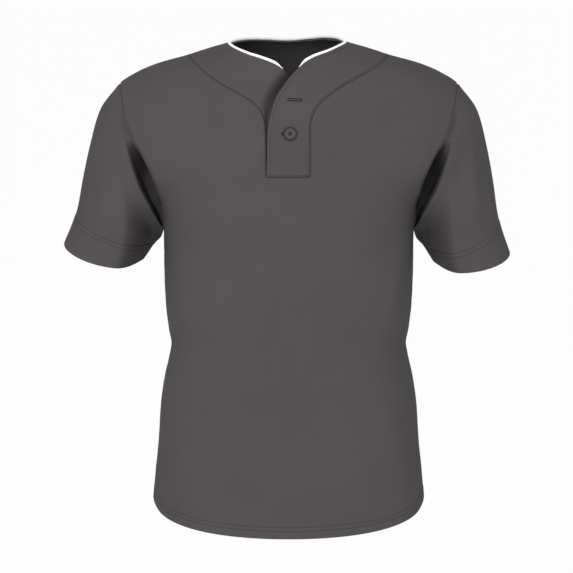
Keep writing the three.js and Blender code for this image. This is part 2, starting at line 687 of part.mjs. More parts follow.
// Sleeve: a tube from the armhole to the cuff, with a deep turned hem of even depth
function sleevePanel(side) {
  const steps = 2 * ARM_STEPS;
  const hemStart = (round) => {
    const length = SLEEVE_UNDERARM_LENGTH +
      ((SLEEVE_UPPER_LENGTH - SLEEVE_UNDERARM_LENGTH) * (1 + Math.cos(round))) / 2;
    return 1 - SLEEVE_HEM / length;
  };
  const rows = Array.from({ length: SLEEVE_ROWS + 1 }, (_, j) => j / SLEEVE_ROWS);
  const row = (alongAt) => Array.from({ length: steps + 1 }, (_, i) => {
    const round = (2 * Math.PI * (i % steps)) / steps;
    return [round, alongAt(round)];
  });
  const grid = [
    ...rows.map((share) => row((round) => share * hemStart(round))),
    ...SLEEVE_HEM_ROWS.map((share) => row((round) => hemStart(round) + share * (1 - hemStart(round)))),
  ];
  const ordered = side > 0 ? grid : grid.map((line) => [...line].reverse());
  return clothWall([ordered], ([round, along]) => {
    const normal = sleeveNormal(side, round, along);
    const point = sleeveSurface(side, round, along)
      .addScaledVector(normal, sleeveFolds(side, round, along));
    return { point, normal, thickness: along > hemStart(round) + 1e-6 ? HEM_CLOTH : CLOTH };
  });
}

// Piping: a cord in a strip of cloth along the neck, from the underlap round the back to the placket.
// It runs beside the straight edges between the panels' own points, so it keeps one gap from them.
function neckPiping() {
  const right = evenSpots(underlapEdge, ARM_UPPER_STEPS)
    .filter(([, drop]) => drop <= PIPING_RIGHT_END_DROP);
  const left = evenSpots(placketEdge, ARM_UPPER_STEPS)
    .filter(([, drop]) => drop <= PIPING_LEFT_END_DROP);
  const back = backNeckLine(270, 90).slice(1, -1);
  const corners = [
    ...right.map(placeOnBody(underlapLift)),
    ...back.map(placeOnBody()),
    ...left.reverse().map(placeOnBody(placketLift)),
  ];
  const beside = ({ point, normal }, before, after) => {
    const inward = new THREE.Vector3().subVectors(after, before).cross(normal).normalize();
    return point.clone().addScaledVector(inward, PIPING_RADIUS + PIPING_GAP);
  };
  const centres = corners.flatMap((here, i) => {
    const previous = corners[Math.max(i - 1, 0)].point;
    const next = corners[Math.min(i + 1, corners.length - 1)];
    const centre = beside(here, previous, next.point);
    if (next === here) return [centre];
    const middle = {
      point: here.point.clone().lerp(next.point, 0.5),
      normal: here.normal.clone().add(next.normal).normalize(),
    };
    return [centre, beside(middle, here.point, next.point)];
  });
  const section = new THREE.Shape().absarc(0, 0, PIPING_RADIUS, 0, 2 * Math.PI);
  return new THREE.ExtrudeGeometry(section, {
    extrudePath: new THREE.CatmullRomCurve3(centres),
    steps: centres.length - 1,
    curveSegments: PIPING_SIDES / 2,
    bevelEnabled: false,
  });
}

// Button: a flat disc with rounded edges and four sewing holes
function buttonBlank() {
  const face = new THREE.Shape().absarc(0, 0, BUTTON_RADIUS - BUTTON_EDGE, 0, 2 * Math.PI);
  [1, -1].forEach((x) => [1, -1].forEach((y) => {
    const hole = new THREE.Path().absarc(
      x * BUTTON_HOLE_SPREAD, y * BUTTON_HOLE_SPREAD, BUTTON_HOLE_RADIUS - BUTTON_EDGE, 0, 2 * Math.PI, true,
    );
    face.holes.push(hole);
  }));
  return new THREE.ExtrudeGeometry(face, {
    depth: BUTTON_THICKNESS - 2 * BUTTON_EDGE,
    bevelThickness: BUTTON_EDGE,
    bevelSize: BUTTON_EDGE,
    bevelSegments: 1,
    curveSegments: 8,
  }).translate(0, 0, BUTTON_EDGE);
}

// A mesh for a button lying on a panel: it is square to the cloth and clears the highest spot under it
function placedButton(name, at, lift, material) {
  const on = (across, drop) => placeOnBody(lift)([turnAt(across, drop), drop]).point;
  const reach = BUTTON_RADIUS * Math.SQRT1_2;
  const centre = on(at.across, at.drop);
  const sideways = on(at.across + reach, at.drop).sub(on(at.across - reach, at.drop));
  const upwards = on(at.across, at.drop - reach).sub(on(at.across, at.drop + reach));
  const normal = sideways.cross(upwards).normalize();
  const heights = Array.from({ length: 16 }, (_, i) => {
    const turn = (i * Math.PI) / 8;
    const rim = on(at.across + BUTTON_RADIUS * Math.cos(turn), at.drop + BUTTON_RADIUS * Math.sin(turn));
    return rim.sub(centre).dot(normal);
  });
  const rise = Math.max(0, ...heights) + CLOTH / 2 + BUTTON_CLEARANCE;
  const mesh = new THREE.Mesh(buttonBlank(), material);
  mesh.name = name;
  mesh.quaternion.setFromUnitVectors(new THREE.Vector3(0, 0, 1), normal);
  mesh.position.copy(centre.addScaledVector(normal, rise));
  return mesh;
}

const cloth = new THREE.MeshStandardMaterial({ color: CHARCOAL, roughness: 0.9, metalness: 0 });
const white = new THREE.MeshStandardMaterial({ color: WHITE, roughness: 0.8, metalness: 0 });
const plastic = new THREE.MeshStandardMaterial({ color: BUTTON_GREY, roughness: 0.5, metalness: 0 });

function panel(name, geometry, material) {
  const mesh = new THREE.Mesh(geometry, material);
  mesh.name = name;
  return mesh;
}

const jersey = new THREE.Group();
jersey.add(
  panel('front_panel', frontPanel(), cloth),
  panel('back_panel', backPanel(), cloth),
  panel('yoke_right', rightYoke(), cloth),
  panel('yoke_left', leftYoke(), cloth),
  panel('sleeve_right', sleevePanel(-1), cloth),
  panel('sleeve_left', sleevePanel(1), cloth),
  panel('neck_piping', neckPiping(), white),
  placedButton('button_lower', LOWER_BUTTON, placketLift, plastic),
  placedButton('button_upper', UPPER_BUTTON, underlapLift, plastic),
);

export default jersey;
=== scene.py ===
# A short-sleeved baseball jersey with a two-button front, filled out as if it were worn.
# Sizes are in millimetres and become metres in the meshes. +Z is up, +X is towards the wearer's left
# and -Y is the front. The origin is the middle of the neck.

import bpy
import numpy as np
from mathutils import Matrix


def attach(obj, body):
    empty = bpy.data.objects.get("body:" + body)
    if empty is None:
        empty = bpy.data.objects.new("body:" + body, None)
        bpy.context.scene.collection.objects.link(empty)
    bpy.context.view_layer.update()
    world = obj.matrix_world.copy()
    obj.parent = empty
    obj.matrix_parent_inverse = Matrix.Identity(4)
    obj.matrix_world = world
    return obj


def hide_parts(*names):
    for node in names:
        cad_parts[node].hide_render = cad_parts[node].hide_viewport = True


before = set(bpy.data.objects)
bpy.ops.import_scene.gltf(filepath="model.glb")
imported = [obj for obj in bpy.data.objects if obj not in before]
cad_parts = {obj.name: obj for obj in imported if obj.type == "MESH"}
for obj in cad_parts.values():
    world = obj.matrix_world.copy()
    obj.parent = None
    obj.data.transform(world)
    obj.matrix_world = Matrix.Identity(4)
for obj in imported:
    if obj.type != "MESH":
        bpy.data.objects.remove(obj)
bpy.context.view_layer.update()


# Front panel
# One piece of charcoal polyester jersey knit from side seam to side seam, cut out at the top for the
# two yokes. It is sewn to the back, the sleeves and the yokes with the seam allowances turned inside,
# and its lower edge is turned up once and held by two rows of stitches.

MM = 0.001
CLOTH = 1.4
HEM_CLOTH = 2.2
SEAM_GAP = 0.4
BODY_STEP = 3.6


def table(names, *rows):
    """The columns of a table by their names."""
    return dict(zip(names.split(), np.array(rows, float).T))


# Level cuts round the body: half the width, the depths of the front and the back from the line between
# the side seams, how far that line lies behind the middle, and how much the cut is squared off
BODY = table(
    "drop half front back seam square",
    (-10, 72, 52, 38, 10, 0),
    (0, 87, 63, 47, 10, 0),
    (8, 114, 78, 59, 10, 0),
    (20, 151, 86, 73, 10, 0),
    (33, 197, 91, 83, 10, 0),
    (47, 229, 95, 89, 10, 0),
    (62, 252, 98, 94, 9, 0),
    (90, 275, 104, 104, 7, 0),
    (120, 284, 110, 112, 5, 0.01),
    (155, 274, 115, 118, 2, 0.015),
    (190, 241, 119, 121, 1, 0.02),
    (215, 209, 121, 121.5, 0.5, 0.025),
    (236, 192.5, 122, 121, 0, 0.03),
    (260, 187.8, 123, 119.5, 0, 0.03),
    (290, 186, 123, 117, 0, 0.03),
    (340, 185.5, 121, 113, 0, 0.03),
    (390, 183.5, 117, 108, 0, 0.03),
    (430, 179, 114, 105, 0, 0.03),
    (450, 176.5, 113, 104, 0, 0.03),
    (470, 178.5, 113, 104, 0, 0.03),
    (500, 185, 114, 105, 0, 0.03),
    (540, 191, 115, 107, 0, 0.03),
    (600, 195, 117, 111, 0, 0.03),
    (650, 200, 119, 115, 0, 0.03),
    (690, 203, 120, 117, 0, 0.03),
    (740, 204, 120, 118, 0, 0.03),
)


def curve(rows, key, name, x):
    """A smooth curve through one column of a table, read at x. Between two rows it is a cubic. The slope
    at a row is the weighted harmonic mean of the rises on its two sides, or none at a peak, so the curve
    never passes beyond its rows."""
    at, value = rows[key], rows[name]
    width = np.diff(at)
    rise = np.diff(value) / width
    first = 2 * width[1:] + width[:-1]
    second = width[1:] + 2 * width[:-1]
    same = rise[:-1] * rise[1:] > 0
    slope = np.concatenate([rise[:1], np.zeros(len(at) - 2), rise[-1:]])
    slope[1:-1][same] = (first + second)[same] / (
        first[same] / rise[:-1][same] + second[same] / rise[1:][same]
    )
    x = np.clip(x, at[0], at[-1])
    i = np.clip(np.searchsorted(at, x) - 1, 0, len(width) - 1)
    t = (x - at[i]) / width[i]
    keep = 1 - t
    return (
        value[i] * keep**2 * (1 + 2 * t)
        + value[i + 1] * t**2 * (3 - 2 * t)
        + slope[i] * width[i] * t * keep**2
        - slope[i + 1] * width[i] * t**2 * keep
    )


def ease(start, end, x):
    """A smooth step from 0 to 1: three squares less two cubes of the share of the way."""
    t = np.clip((x - start) / (end - start), 0, 1)
    return t * t * (3 - 2 * t)


def unit(vectors):
    """Vectors divided by their lengths."""
    return vectors / np.maximum(np.linalg.norm(vectors, axis=-1, keepdims=True), 1e-9)


def body_point(turn, drop):
    """The body's cloth. Turn 0 is the middle of the front, a quarter turn the wearer's left seam and a
    half turn the middle of the back. The width goes with the turn's sine and the depth with its cosine,
    and three times the turn squares the cut off."""
    half, front, back, seam, square = (
        curve(BODY, "drop", name, drop) for name in ("half", "front", "back", "seam", "square")
    )
    across = (np.sin(turn) + square * np.sin(3 * turn)) / (1 - square)
    forward = (np.cos(turn) - square * np.cos(3 * turn)) / (1 - square)
    depth = np.where(np.cos(turn) > 0, front, back)
    return np.stack([half * across, seam - depth * forward, -drop + 0 * turn], -1)


def body_normal(turn, drop):
    """The outward direction: the slope round the body crossed with the slope up it."""
    around = body_point(turn + 0.002, drop) - body_point(turn - 0.002, drop)
    up = body_point(turn, drop - 0.5) - body_point(turn, drop + 0.5)
    return unit(np.cross(around, up))


# Soft ridges and troughs of the body between two places, with their width and height
BODY_FOLDS = (
    (50, 140, 64, 200, 12, -4),
    (-50, 140, -64, 200, 12, -4),
    (47, 128, 51, 176, 5, -1.4),
    (124, 165, 108, 265, 17, -5.5),
    (-125, 168, -108, 262, 17, -5),
    (152, 120, 128, 190, 15, -3.5),
    (-150, 132, -130, 196, 14, -3),
    (88, 452, 52, 438, 13, -3.5),
    (-88, 454, -50, 442, 13, -3.5),
    (92, 452, 128, 440, 14, -3),
    (-92, 454, -126, 444, 14, -3),
    (44, 520, 58, 690, 26, 4),
    (-46, 530, -56, 690, 24, 3),
    (62, 290, 48, 430, 20, 3),
    (-64, 300, -52, 425, 18, 2.5),
    (70, 545, 76, 690, 16, -3),
    (-70, 560, -75, 690, 15, -2.5),
    (135, 230, 158, 420, 22, -3.5),
    (-138, 240, -160, 410, 20, -3),
    (150, 500, 146, 690, 24, 4),
    (-148, 510, -150, 690, 26, 3.5),
)
BODY_MM_PER_DEGREE = 2.6
FOLD_END_SHARE = 0.25


def fold_height(x, y, run_x, run_y, width, height):
    """One fold: a rounded ridge or trough along a line. It falls off with the square of the distance
    from the line, in an exponential, and fades by a sine towards the line's two ends."""
    share = np.clip((x * run_x + y * run_y) / (run_x**2 + run_y**2), 0, 1)
    distance = np.hypot(x - share * run_x, y - share * run_y)
    strength = FOLD_END_SHARE + (1 - FOLD_END_SHARE) * np.sin(np.pi * share)
    return height * strength * np.exp(-((distance / width) ** 2))


def degrees_from(turn, to):
    """Degrees from one turn to another, the short way round."""
    return (to - turn + 180) % 360 - 180


def body_folds(turn, drop):
    """The sum of the body's folds."""
    return sum(
        fold_height(
            degrees_from(from_turn, np.degrees(turn)) * BODY_MM_PER_DEGREE,
            drop - from_drop,
            (to_turn - from_turn) * BODY_MM_PER_DEGREE,
            to_drop - from_drop,
            width,
            height,
        )
        for from_turn, from_drop, to_turn, to_drop, width, height in BODY_FOLDS
    )


NEWTON_STEPS = 8
LEAST_SLOPE = 0.05


def turn_at(across, drop):
    """The turn at which the front lies a given distance across, found by Newton's rule from the plain
    ellipse's turn."""
    square = curve(BODY, "drop", "square", drop)
    wanted = np.clip(across / curve(BODY, "drop", "half", drop), -1, 1)
    turn = np.arcsin(wanted)
    for _ in range(NEWTON_STEPS):
        off = (np.sin(turn) + square * np.sin(3 * turn)) / (1 - square) - wanted
        slope = (np.cos(turn) + 3 * square * np.cos(3 * turn)) / (1 - square)
        turn = turn - off / np.maximum(slope, LEAST_SLOPE)
    turn = np.clip(turn, -np.pi / 2, np.pi / 2)
    return np.where(np.abs(wanted) == 1, wanted * np.pi / 2, turn)


# Hem: a shirt tail, lower at the middle of the front and back than at the side seams
HEM_SIDE_DROP = 685
HEM_TAIL = 44
HEM_TURN = 17
HEM_STITCH_ROWS = (11, 17)
HEM_ROWS = np.array([
    0, 0.6, 1.4, 2.8, 5, 7.5, 9.4, 10.3, 10.7, 11, 11.3, 11.7, 12.6, 14, 15.4, 16.3, 16.7, 17, 17.3, 17.7,
    18.6, 20.4, 23,
])


def hem_drop(turn):
    """The drop of the hem's edge, which goes with the turn's cosine."""
    return HEM_SIDE_DROP + HEM_TAIL * np.abs(np.cos(turn))


# Armhole: half the width across the front and the back, from the shoulder point to the underarm
ARMHOLE = table(
    "drop across_front across_back",
    (62, 252, 252),
    (76, 249.5, 251),
    (92, 246.5, 249),
    (115, 240, 246),
    (140, 230, 240),
    (165, 216, 230),
    (190, 203, 216),
    (215, 195.5, 201),
    (236, 192.5, 192.5),
)
SHOULDER_DROP = 62
UNDERARM_DROP = 236
LOW_ARM = 0.4

# The two seams between the front and the yokes, seen from the front
YOKE_TOP_DROP = 19
PLACKET_DROP = 187.5
YOKE_SEAM_RIGHT = table(
    "across drop",
    (-33.5, PLACKET_DROP),
    (-33.5, 150),
    (-35, 114),
    (-41, 93),
    (-54, 79),
    (-78, 65),
    (-100, 53),
    (-118, 42),
    (-133, 30),
    (-148.3, YOKE_TOP_DROP),
)
YOKE_SEAM_LEFT = table(
    "across drop",
    (32, PLACKET_DROP),
    (32, 150),
    (32, 115),
    (36, 97),
    (46, 81),
    (62, 68),
    (80, 56),
    (99, 46),
    (121, 35),
    (135, 27),
    (148.3, YOKE_TOP_DROP),
)


def front_line(points):
    """A line on the front through points given as seen from the front, by their share of its length.
    It gives the line's turns and drops."""
    steps = np.hypot(np.diff(points["across"]), np.diff(points["drop"]))
    share_at = np.append(0, np.cumsum(steps)) / steps.sum()
    rows = {**points, "along": share_at}

    def line(share):
        drop = curve(rows, "along", "drop", share)
        return np.stack([turn_at(curve(rows, "along", "across", share), drop), drop], -1)

    return line


def arm_line(side, back, start, end):
    """Part of an armhole from one share of its round to another: 0 is the shoulder point and a half the
    underarm, and the drop goes with the round's cosine. side is 1 for the wearer's left."""

    def line(share):
        return armhole_spot(side, back, start + (end - start) * share)

    return line


def armhole_spot(side, back, share):
    """The armhole's turn and drop at a share of its round."""
    drop = SHOULDER_DROP + (UNDERARM_DROP - SHOULDER_DROP) * (1 - np.cos(2 * np.pi * share)) / 2
    turn = turn_at(curve(ARMHOLE, "drop", "across_back" if back else "across_front", drop), drop)
    return np.stack([side * (np.pi - turn if back else turn), drop], -1)


def straight(start, end):
    """A straight line of turns and drops between two spots."""
    return lambda share: np.asarray(start) + np.multiply.outer(share, np.subtract(end, start))


def hem_line(start, end, above):
    """A line at an even height above the hem's edge."""

    def line(share):
        turn = start + (end - start) * np.asarray(share)
        return np.stack([turn, hem_drop(turn) - above], -1)

    return line


# Distances of the first rows of a piece from its seams
SEAM_ROWS = np.array([0, 0.5, 1.1, 1.9, 3.2])


LINE_SHARES = np.linspace(0, 1, 401)


def lengths_of(spots):
    """Lengths over the cloth from the first of a line's spots to each of them."""
    runs = np.linalg.norm(np.diff(body_point(*spots.T), axis=0), axis=1)
    return np.append(0, np.cumsum(runs))


def shares_of(spots):
    """The share of a line's length at each of its spots."""
    length = lengths_of(spots)
    return length / length[-1]


def spread(line, step, start=SEAM_ROWS, end=SEAM_ROWS):
    """Spots along a line on the cloth: an even step in the middle, and stated distances at its ends."""
    fine = line(LINE_SHARES)
    length = lengths_of(fine)
    low, high = start[-1], length[-1] - end[-1]
    middle = np.linspace(low, high, 1 + max(int(round((high - low) / step)), 1))
    wanted = np.concatenate([start[:-1], middle, length[-1] - np.asarray(end[:-1])[::-1]])
    return np.stack([np.interp(wanted, length, column) for column in fine.T], -1)


def matched(line, spots):
    """Spots along a line at the same shares of its length as the given spots have on theirs."""
    fine = line(LINE_SHARES)
    share = shares_of(fine)
    return np.stack([np.interp(shares_of(spots), share, column) for column in fine.T], -1)


def fill(bottom, top, left, right):
    """A grid of spots between four lines: the mean of the two ways across, less the corners' share."""
    s = shares_of(top)[None, :, None]
    t = shares_of(right)[:, None, None]
    level = (1 - t) * bottom + t * top
    upright = (1 - s) * left[:, None] + s * right[:, None]
    low = (1 - s) * bottom[0] + s * bottom[-1]
    high = (1 - s) * top[0] + s * top[-1]
    return level + upright - (1 - t) * low - t * high


EDGE_BATCH = 1500


def edge_distance(points, starts, ends):
    """Distance from each point to the nearest of a set of straight edges."""
    run = ends - starts
    nearest = np.empty(len(points))
    for part in np.array_split(np.arange(len(points)), 1 + len(points) // EDGE_BATCH):
        away = points[part][:, None] - starts
        share = np.clip((away * run).sum(-1) / (run**2).sum(-1), 0, 1)
        nearest[part] = np.linalg.norm(away - share[..., None] * run, axis=-1).min(1)
    return nearest


# Where two pieces are sewn together the cloth rolls in, puckers a little, and its edge stands inside
SEAM_DIP = 1.3
SEAM_DIP_WIDTH = 1.3
SEAM_SWELL = 0.25
SEAM_SWELL_AT = 4.5
PUCKER = 0.22
PUCKER_REACH = 7
PUCKER_WAVES = np.array([(0.55, 0, 0.2), (0, -0.3, 0.47), (0.36, 0.33, 0)])
SEAM_SWELL_WIDTH = 3
ALLOWANCE = 3.2
ALLOWANCE_CLOTH = 0.4
ALLOWANCE_LEAN = 0.22


def seam_relief(distance, points):
    """Height of the cloth beside a seam: a dip at the seam, a low swell beside it where the allowances
    lie inside, and small uneven puckers, three crossing waves that die out with the distance."""
    dip = -SEAM_DIP * np.exp(-((distance / SEAM_DIP_WIDTH) ** 2))
    swell = SEAM_SWELL * np.exp(-(((distance - SEAM_SWELL_AT) / SEAM_SWELL_WIDTH) ** 2))
    wave = np.sin(points @ PUCKER_WAVES.T).sum(-1)
    return dip + swell + PUCKER / 2 * wave * np.exp(-distance / PUCKER_REACH)


def mesh_piece(name, points, faces, maps=None):
    """A smooth mesh object from points in millimetres and four-cornered faces, with a cloth map."""
    mesh = bpy.data.meshes.new(name)
    mesh.from_pydata((points * MM).tolist(), [], faces.tolist())
    if maps is not None:
        layer = mesh.uv_layers.new(name="cloth")
        layer.data.foreach_set("uv", (maps * MM).ravel())
    mesh.polygons.foreach_set("use_smooth", np.ones(len(faces), bool))
    piece = bpy.data.objects.new(name, mesh)
    bpy.context.scene.collection.objects.link(piece)
    return piece


# An open edge's half round: three rings, outwards and up, in shares of the cloth's thickness
HALF_ROUND = ((-0.3, 0.36), (-0.45, 0), (-0.3, -0.36))


def grid_corners(grids):
    """The four corners of every face of the grids, counted through all their spots."""
    corners = []
    start = 0
    for grid in grids:
        index = np.arange(start, start + grid[..., 0].size).reshape(grid.shape[:2])
        start += index.size
        corners.append(np.stack([index[:-1, :-1], index[:-1, 1:], index[1:, 1:], index[1:, :-1]], -1))
    return np.concatenate([part.reshape(-1, 4) for part in corners])


def open_edges(faces, count):
    """The edges that only one face has, in that face's own direction."""
    edges = np.concatenate([faces[:, [i, (i + 1) % 4]] for i in range(4)])
    backward = edges[:, 1] * count + edges[:, 0]
    return edges[~np.isin(edges[:, 0] * count + edges[:, 1], backward)]


def cloth_wall(name, grids, place, cloth_map, is_seam):
    """A closed wall of cloth from grids of spots. Each spot is moved half the wall's thickness out and
    in along its normal. A sewn edge turns inwards as a narrow allowance that leans on its neighbour's,
    and an open edge is closed by a half round. place gives points, normals and thickness, and is_seam
    tells the sewn edges' spots."""
    spots = np.concatenate([grid.reshape(-1, 2) for grid in grids])
    points, normals, thickness = place(spots)
    _, first, welded = np.unique(np.round(points, 3), axis=0, return_index=True, return_inverse=True)
    corners = grid_corners(grids)
    faces = welded.ravel()[corners]
    points, normals, thickness = points[first], normals[first], thickness[first, None]
    count = len(points)

    rim = open_edges(faces, count)
    inward = np.zeros((count, 3))
    run = points[rim[:, 1]] - points[rim[:, 0]]
    for end in (0, 1):
        np.add.at(inward, rim[:, end], unit(np.cross(normals[rim[:, end]], run)))
    inward = unit(inward)

    sewn = is_seam(spots[first])
    seams = rim[sewn[rim].all(1)]
    if len(seams):
        distance = edge_distance(points, points[seams[:, 0]], points[seams[:, 1]])
        points = points + normals * seam_relief(distance, points)[:, None]
    middle = points + inward * SEAM_GAP / 2
    outer = middle + normals * thickness / 2
    inner = middle + (inward * ALLOWANCE_CLOTH * sewn[:, None] - normals * thickness / 2)

    ring = np.unique(rim)
    place_in_ring = np.zeros(count, int)
    place_in_ring[ring] = np.arange(len(ring))
    sewn_ring = sewn[ring, None]
    layers = [outer]
    turned = ((0, -0.5 * thickness[ring]), (-ALLOWANCE_LEAN, -ALLOWANCE), (ALLOWANCE_CLOTH, -ALLOWANCE))
    for (in_turned, up_turned), (in_round, up_round) in zip(turned, HALF_ROUND):
        shift_in = np.where(sewn_ring, in_turned, in_round * thickness[ring])
        shift_up = np.where(sewn_ring, up_turned, up_round * thickness[ring])
        layers.append(middle[ring] + inward[ring] * shift_in + normals[ring] * shift_up)
    layers.append(inner)
    sizes = np.cumsum([0] + [len(layer) for layer in layers])
    rim_faces = []
    for k in range(4):
        near = rim if k == 0 else place_in_ring[rim]
        far = rim if k == 3 else place_in_ring[rim]
        near, far = near + sizes[k], far + sizes[k + 1]
        rim_faces.append(np.stack([near[:, 1], near[:, 0], far[:, 0], far[:, 1]], -1))
    all_faces = np.concatenate([faces, faces[:, ::-1] + sizes[4], *rim_faces])
    flat = cloth_map(spots)
    rim_map = flat[first][rim[:, [1, 0, 0, 1]]]
    maps = np.concatenate([flat[corners], flat[corners[:, ::-1]], *[rim_map] * 4])
    return mesh_piece(name, np.concatenate(layers), all_faces, maps.reshape(-1, 2))


# Lengths round and up the body's cloth, from which the knit gets its true size
MAP_COLUMNS = 180
MAP_ROWS = 300
MAP_FROM = -10
MAP_TO = 740
MAP_TURNS = np.linspace(0, np.pi, MAP_COLUMNS + 1)
MAP_DROPS = np.linspace(MAP_FROM, MAP_TO, MAP_ROWS + 1)
map_points = body_point(*np.meshgrid(MAP_TURNS, MAP_DROPS, indexing="ij"))
map_round = np.linalg.norm(np.diff(map_points, axis=0), axis=-1).cumsum(0)
MAP_ROUND = np.concatenate([np.zeros((1, len(MAP_DROPS))), map_round])
map_up = np.linalg.norm(np.diff(map_points, axis=1), axis=-1)[:, ::-1].cumsum(1)[:, ::-1]
MAP_UP = np.concatenate([map_up, np.zeros((len(MAP_TURNS), 1))], axis=1)


def read_map(lengths, turn, drop):
    """A length table read between its turns and drops."""
    i = np.clip(turn / np.pi * MAP_COLUMNS, 0, MAP_COLUMNS - 0.001)
    j = np.clip((drop - MAP_FROM) / (MAP_TO - MAP_FROM) * MAP_ROWS, 0, MAP_ROWS - 0.001)
    a, b = i.astype(int), j.astype(int)
    s, t = i - a, j - b
    low = lengths[a, b] * (1 - s) + lengths[a + 1, b] * s
    high = lengths[a, b + 1] * (1 - s) + lengths[a + 1, b + 1] * s
    return low * (1 - t) + high * t


def body_map(middle):
    """The knit's map on a piece of the body: the length round from the piece's middle line, and the
    length up the body."""

    def cloth_map(spots):
        turn, drop = spots.T
        off = turn - middle
        there = np.abs(middle - np.abs(off))
        round_to = np.abs(read_map(MAP_ROUND, there, drop) - read_map(MAP_ROUND, middle + 0 * off, drop))
        return np.stack([np.sign(off) * round_to, read_map(MAP_UP, there, drop)], -1)

    return cloth_map


def flat_lift(across, drop):
    """A piece that lies level with its neighbours."""
    return 0 * across


GROOVE_WIDTH = 0.6
GROOVE_PRESS = 0.4
GROOVE_SINK = 0.3
HEM_EDGE_UNDER = 0.3
HEM_EDGE_OVER = 0.9


def stitch_groove(above, rows):
    """How much the cloth is pulled in by rows of stitches: a narrow bell about each row."""
    return sum(np.exp(-(((above - row) / GROOVE_WIDTH) ** 2)) for row in rows)


def place_on_body(lift=flat_lift):
    """Places spots on the body, raised by the folds and a piece's own lift. The hem is thicker, and
    sinks a little along its two rows of stitches."""

    def place(spots):
        turn, drop = spots.T
        base = body_point(turn, drop)
        normal = body_normal(turn, drop)
        above = hem_drop(turn) - drop
        groove = stitch_groove(above, HEM_STITCH_ROWS)
        turned = 1 - ease(HEM_TURN - HEM_EDGE_UNDER, HEM_TURN + HEM_EDGE_OVER, above)
        thickness = CLOTH + (HEM_CLOTH - CLOTH) * turned - GROOVE_PRESS * groove
        height = body_folds(turn, drop) + lift(base[:, 0], drop) - GROOVE_SINK * groove
        return base + normal * height[:, None], normal, thickness

    return place


def hem_band(start, end, spots):
    """The rows of the hem under a line of spots."""
    share = shares_of(spots)
    return np.stack([hem_line(start, end, above)(share) for above in HEM_ROWS])


def body_hem_open(spots):
    """Sewn edges of a body piece: all but the hem itself."""
    turn, drop = spots.T
    return hem_drop(turn) - drop > 0.01


QUARTER = np.pi / 2
yoke_seam_right = front_line(YOKE_SEAM_RIGHT)
yoke_seam_left = front_line(YOKE_SEAM_LEFT)
PLAIN = np.array([0.0])


def side_seam(turn):
    """A side seam from the top of the hem to the underarm."""
    return straight((turn, HEM_SIDE_DROP - HEM_ROWS[-1]), (turn, UNDERARM_DROP))


def front_grids():
    """The front's grids of spots: the hem, the part up to the placket's foot and the underarms, and the
    two parts between the armholes and the yokes."""
    arm_right = spread(arm_line(-1, False, LOW_ARM, 0), BODY_STEP, start=PLAIN)
    arm_left = spread(arm_line(1, False, LOW_ARM, 0), BODY_STEP, start=PLAIN)
    seam_right = matched(yoke_seam_right, arm_right)
    seam_left = matched(yoke_seam_left, arm_left)
    chest_right = spread(straight(arm_right[0], seam_right[0]), BODY_STEP)
    chest_left = spread(straight(seam_left[0], arm_left[0]), BODY_STEP)
    foot = spread(straight(seam_right[0], seam_left[0]), BODY_STEP)
    low_right = spread(arm_line(-1, False, 0.5, LOW_ARM), BODY_STEP, end=PLAIN)
    low_left = spread(arm_line(1, False, LOW_ARM, 0.5), BODY_STEP, start=PLAIN)
    top = np.concatenate([low_right, chest_right[1:], foot[1:], chest_left[1:], low_left[1:]])
    side_right = spread(side_seam(-QUARTER), BODY_STEP, start=PLAIN)
    side_left = side_right * (-1, 1)
    band = hem_band(-QUARTER, QUARTER, top)
    shoulder_right = matched(straight((-QUARTER, SHOULDER_DROP), (-QUARTER, YOKE_TOP_DROP)), chest_right)
    shoulder_left = matched(straight((QUARTER, YOKE_TOP_DROP), (QUARTER, SHOULDER_DROP)), chest_left)
    return [
        band,
        fill(band[-1], top, side_right, side_left),
        fill(chest_right, shoulder_right, arm_right, seam_right),
        fill(chest_left, shoulder_left, seam_left, arm_left),
    ]


class Wire:
    """An output in a material's nodes. Arithmetic with numbers or other wires adds Math nodes."""

    def __init__(self, finish, socket):
        self.finish = finish
        self.socket = socket

    def maths(self, operation, first, second):
        return self.finish.node("ShaderNodeMath", {"operation": operation}, {0: first, 1: second})

    def __add__(self, other):
        return self.maths("ADD", self, other)

    def __radd__(self, other):
        return self.maths("ADD", other, self)

    def __sub__(self, other):
        return self.maths("SUBTRACT", self, other)

    def __rsub__(self, other):
        return self.maths("SUBTRACT", other, self)

    def __mul__(self, other):
        return self.maths("MULTIPLY", self, other)

    def __rmul__(self, other):
        return self.maths("MULTIPLY", other, self)

    def __truediv__(self, other):
        return self.maths("DIVIDE", self, other)

    def of(self, operation):
        return self.finish.node("ShaderNodeMath", {"operation": operation}, {0: self})


class Finish:
    """A material being made: its Principled surface and the nodes that feed it."""

    def __init__(self, name, **surface):
        self.material = bpy.data.materials.new(name)
        self.material.use_nodes = True
        self.nodes = self.material.node_tree.nodes
        self.surface = self.nodes["Principled BSDF"]
        for socket, value in surface.items():
            self.surface.inputs[socket.replace("_", " ")].default_value = value

    def feed(self, socket, value):
        if isinstance(value, Wire):
            self.material.node_tree.links.new(value.socket, socket)
        else:
            socket.default_value = value

    def node(self, kind, settings=None, inputs=None, output=0):
        made = self.nodes.new(kind)
        for name, value in (settings or {}).items():
            setattr(made, name, value)
        for name, value in (inputs or {}).items():
            self.feed(made.inputs[name], value)
        return Wire(self, made.outputs[output])

    def blend(self, share, low, high):
        """A colour between two colours."""
        mix = {"data_type": "RGBA"}
        return self.node("ShaderNodeMix", mix, {0: share, 6: low, 7: high}, output=2)


KNIT_DARK = (0.0497, 0.0450, 0.0461, 1)
KNIT_LIGHT = (0.0649, 0.0593, 0.0606, 1)
WALE = 0.0009
COURSE = 0.0007
FLECK_SCALE = 900
CLOUD_SCALE = 14


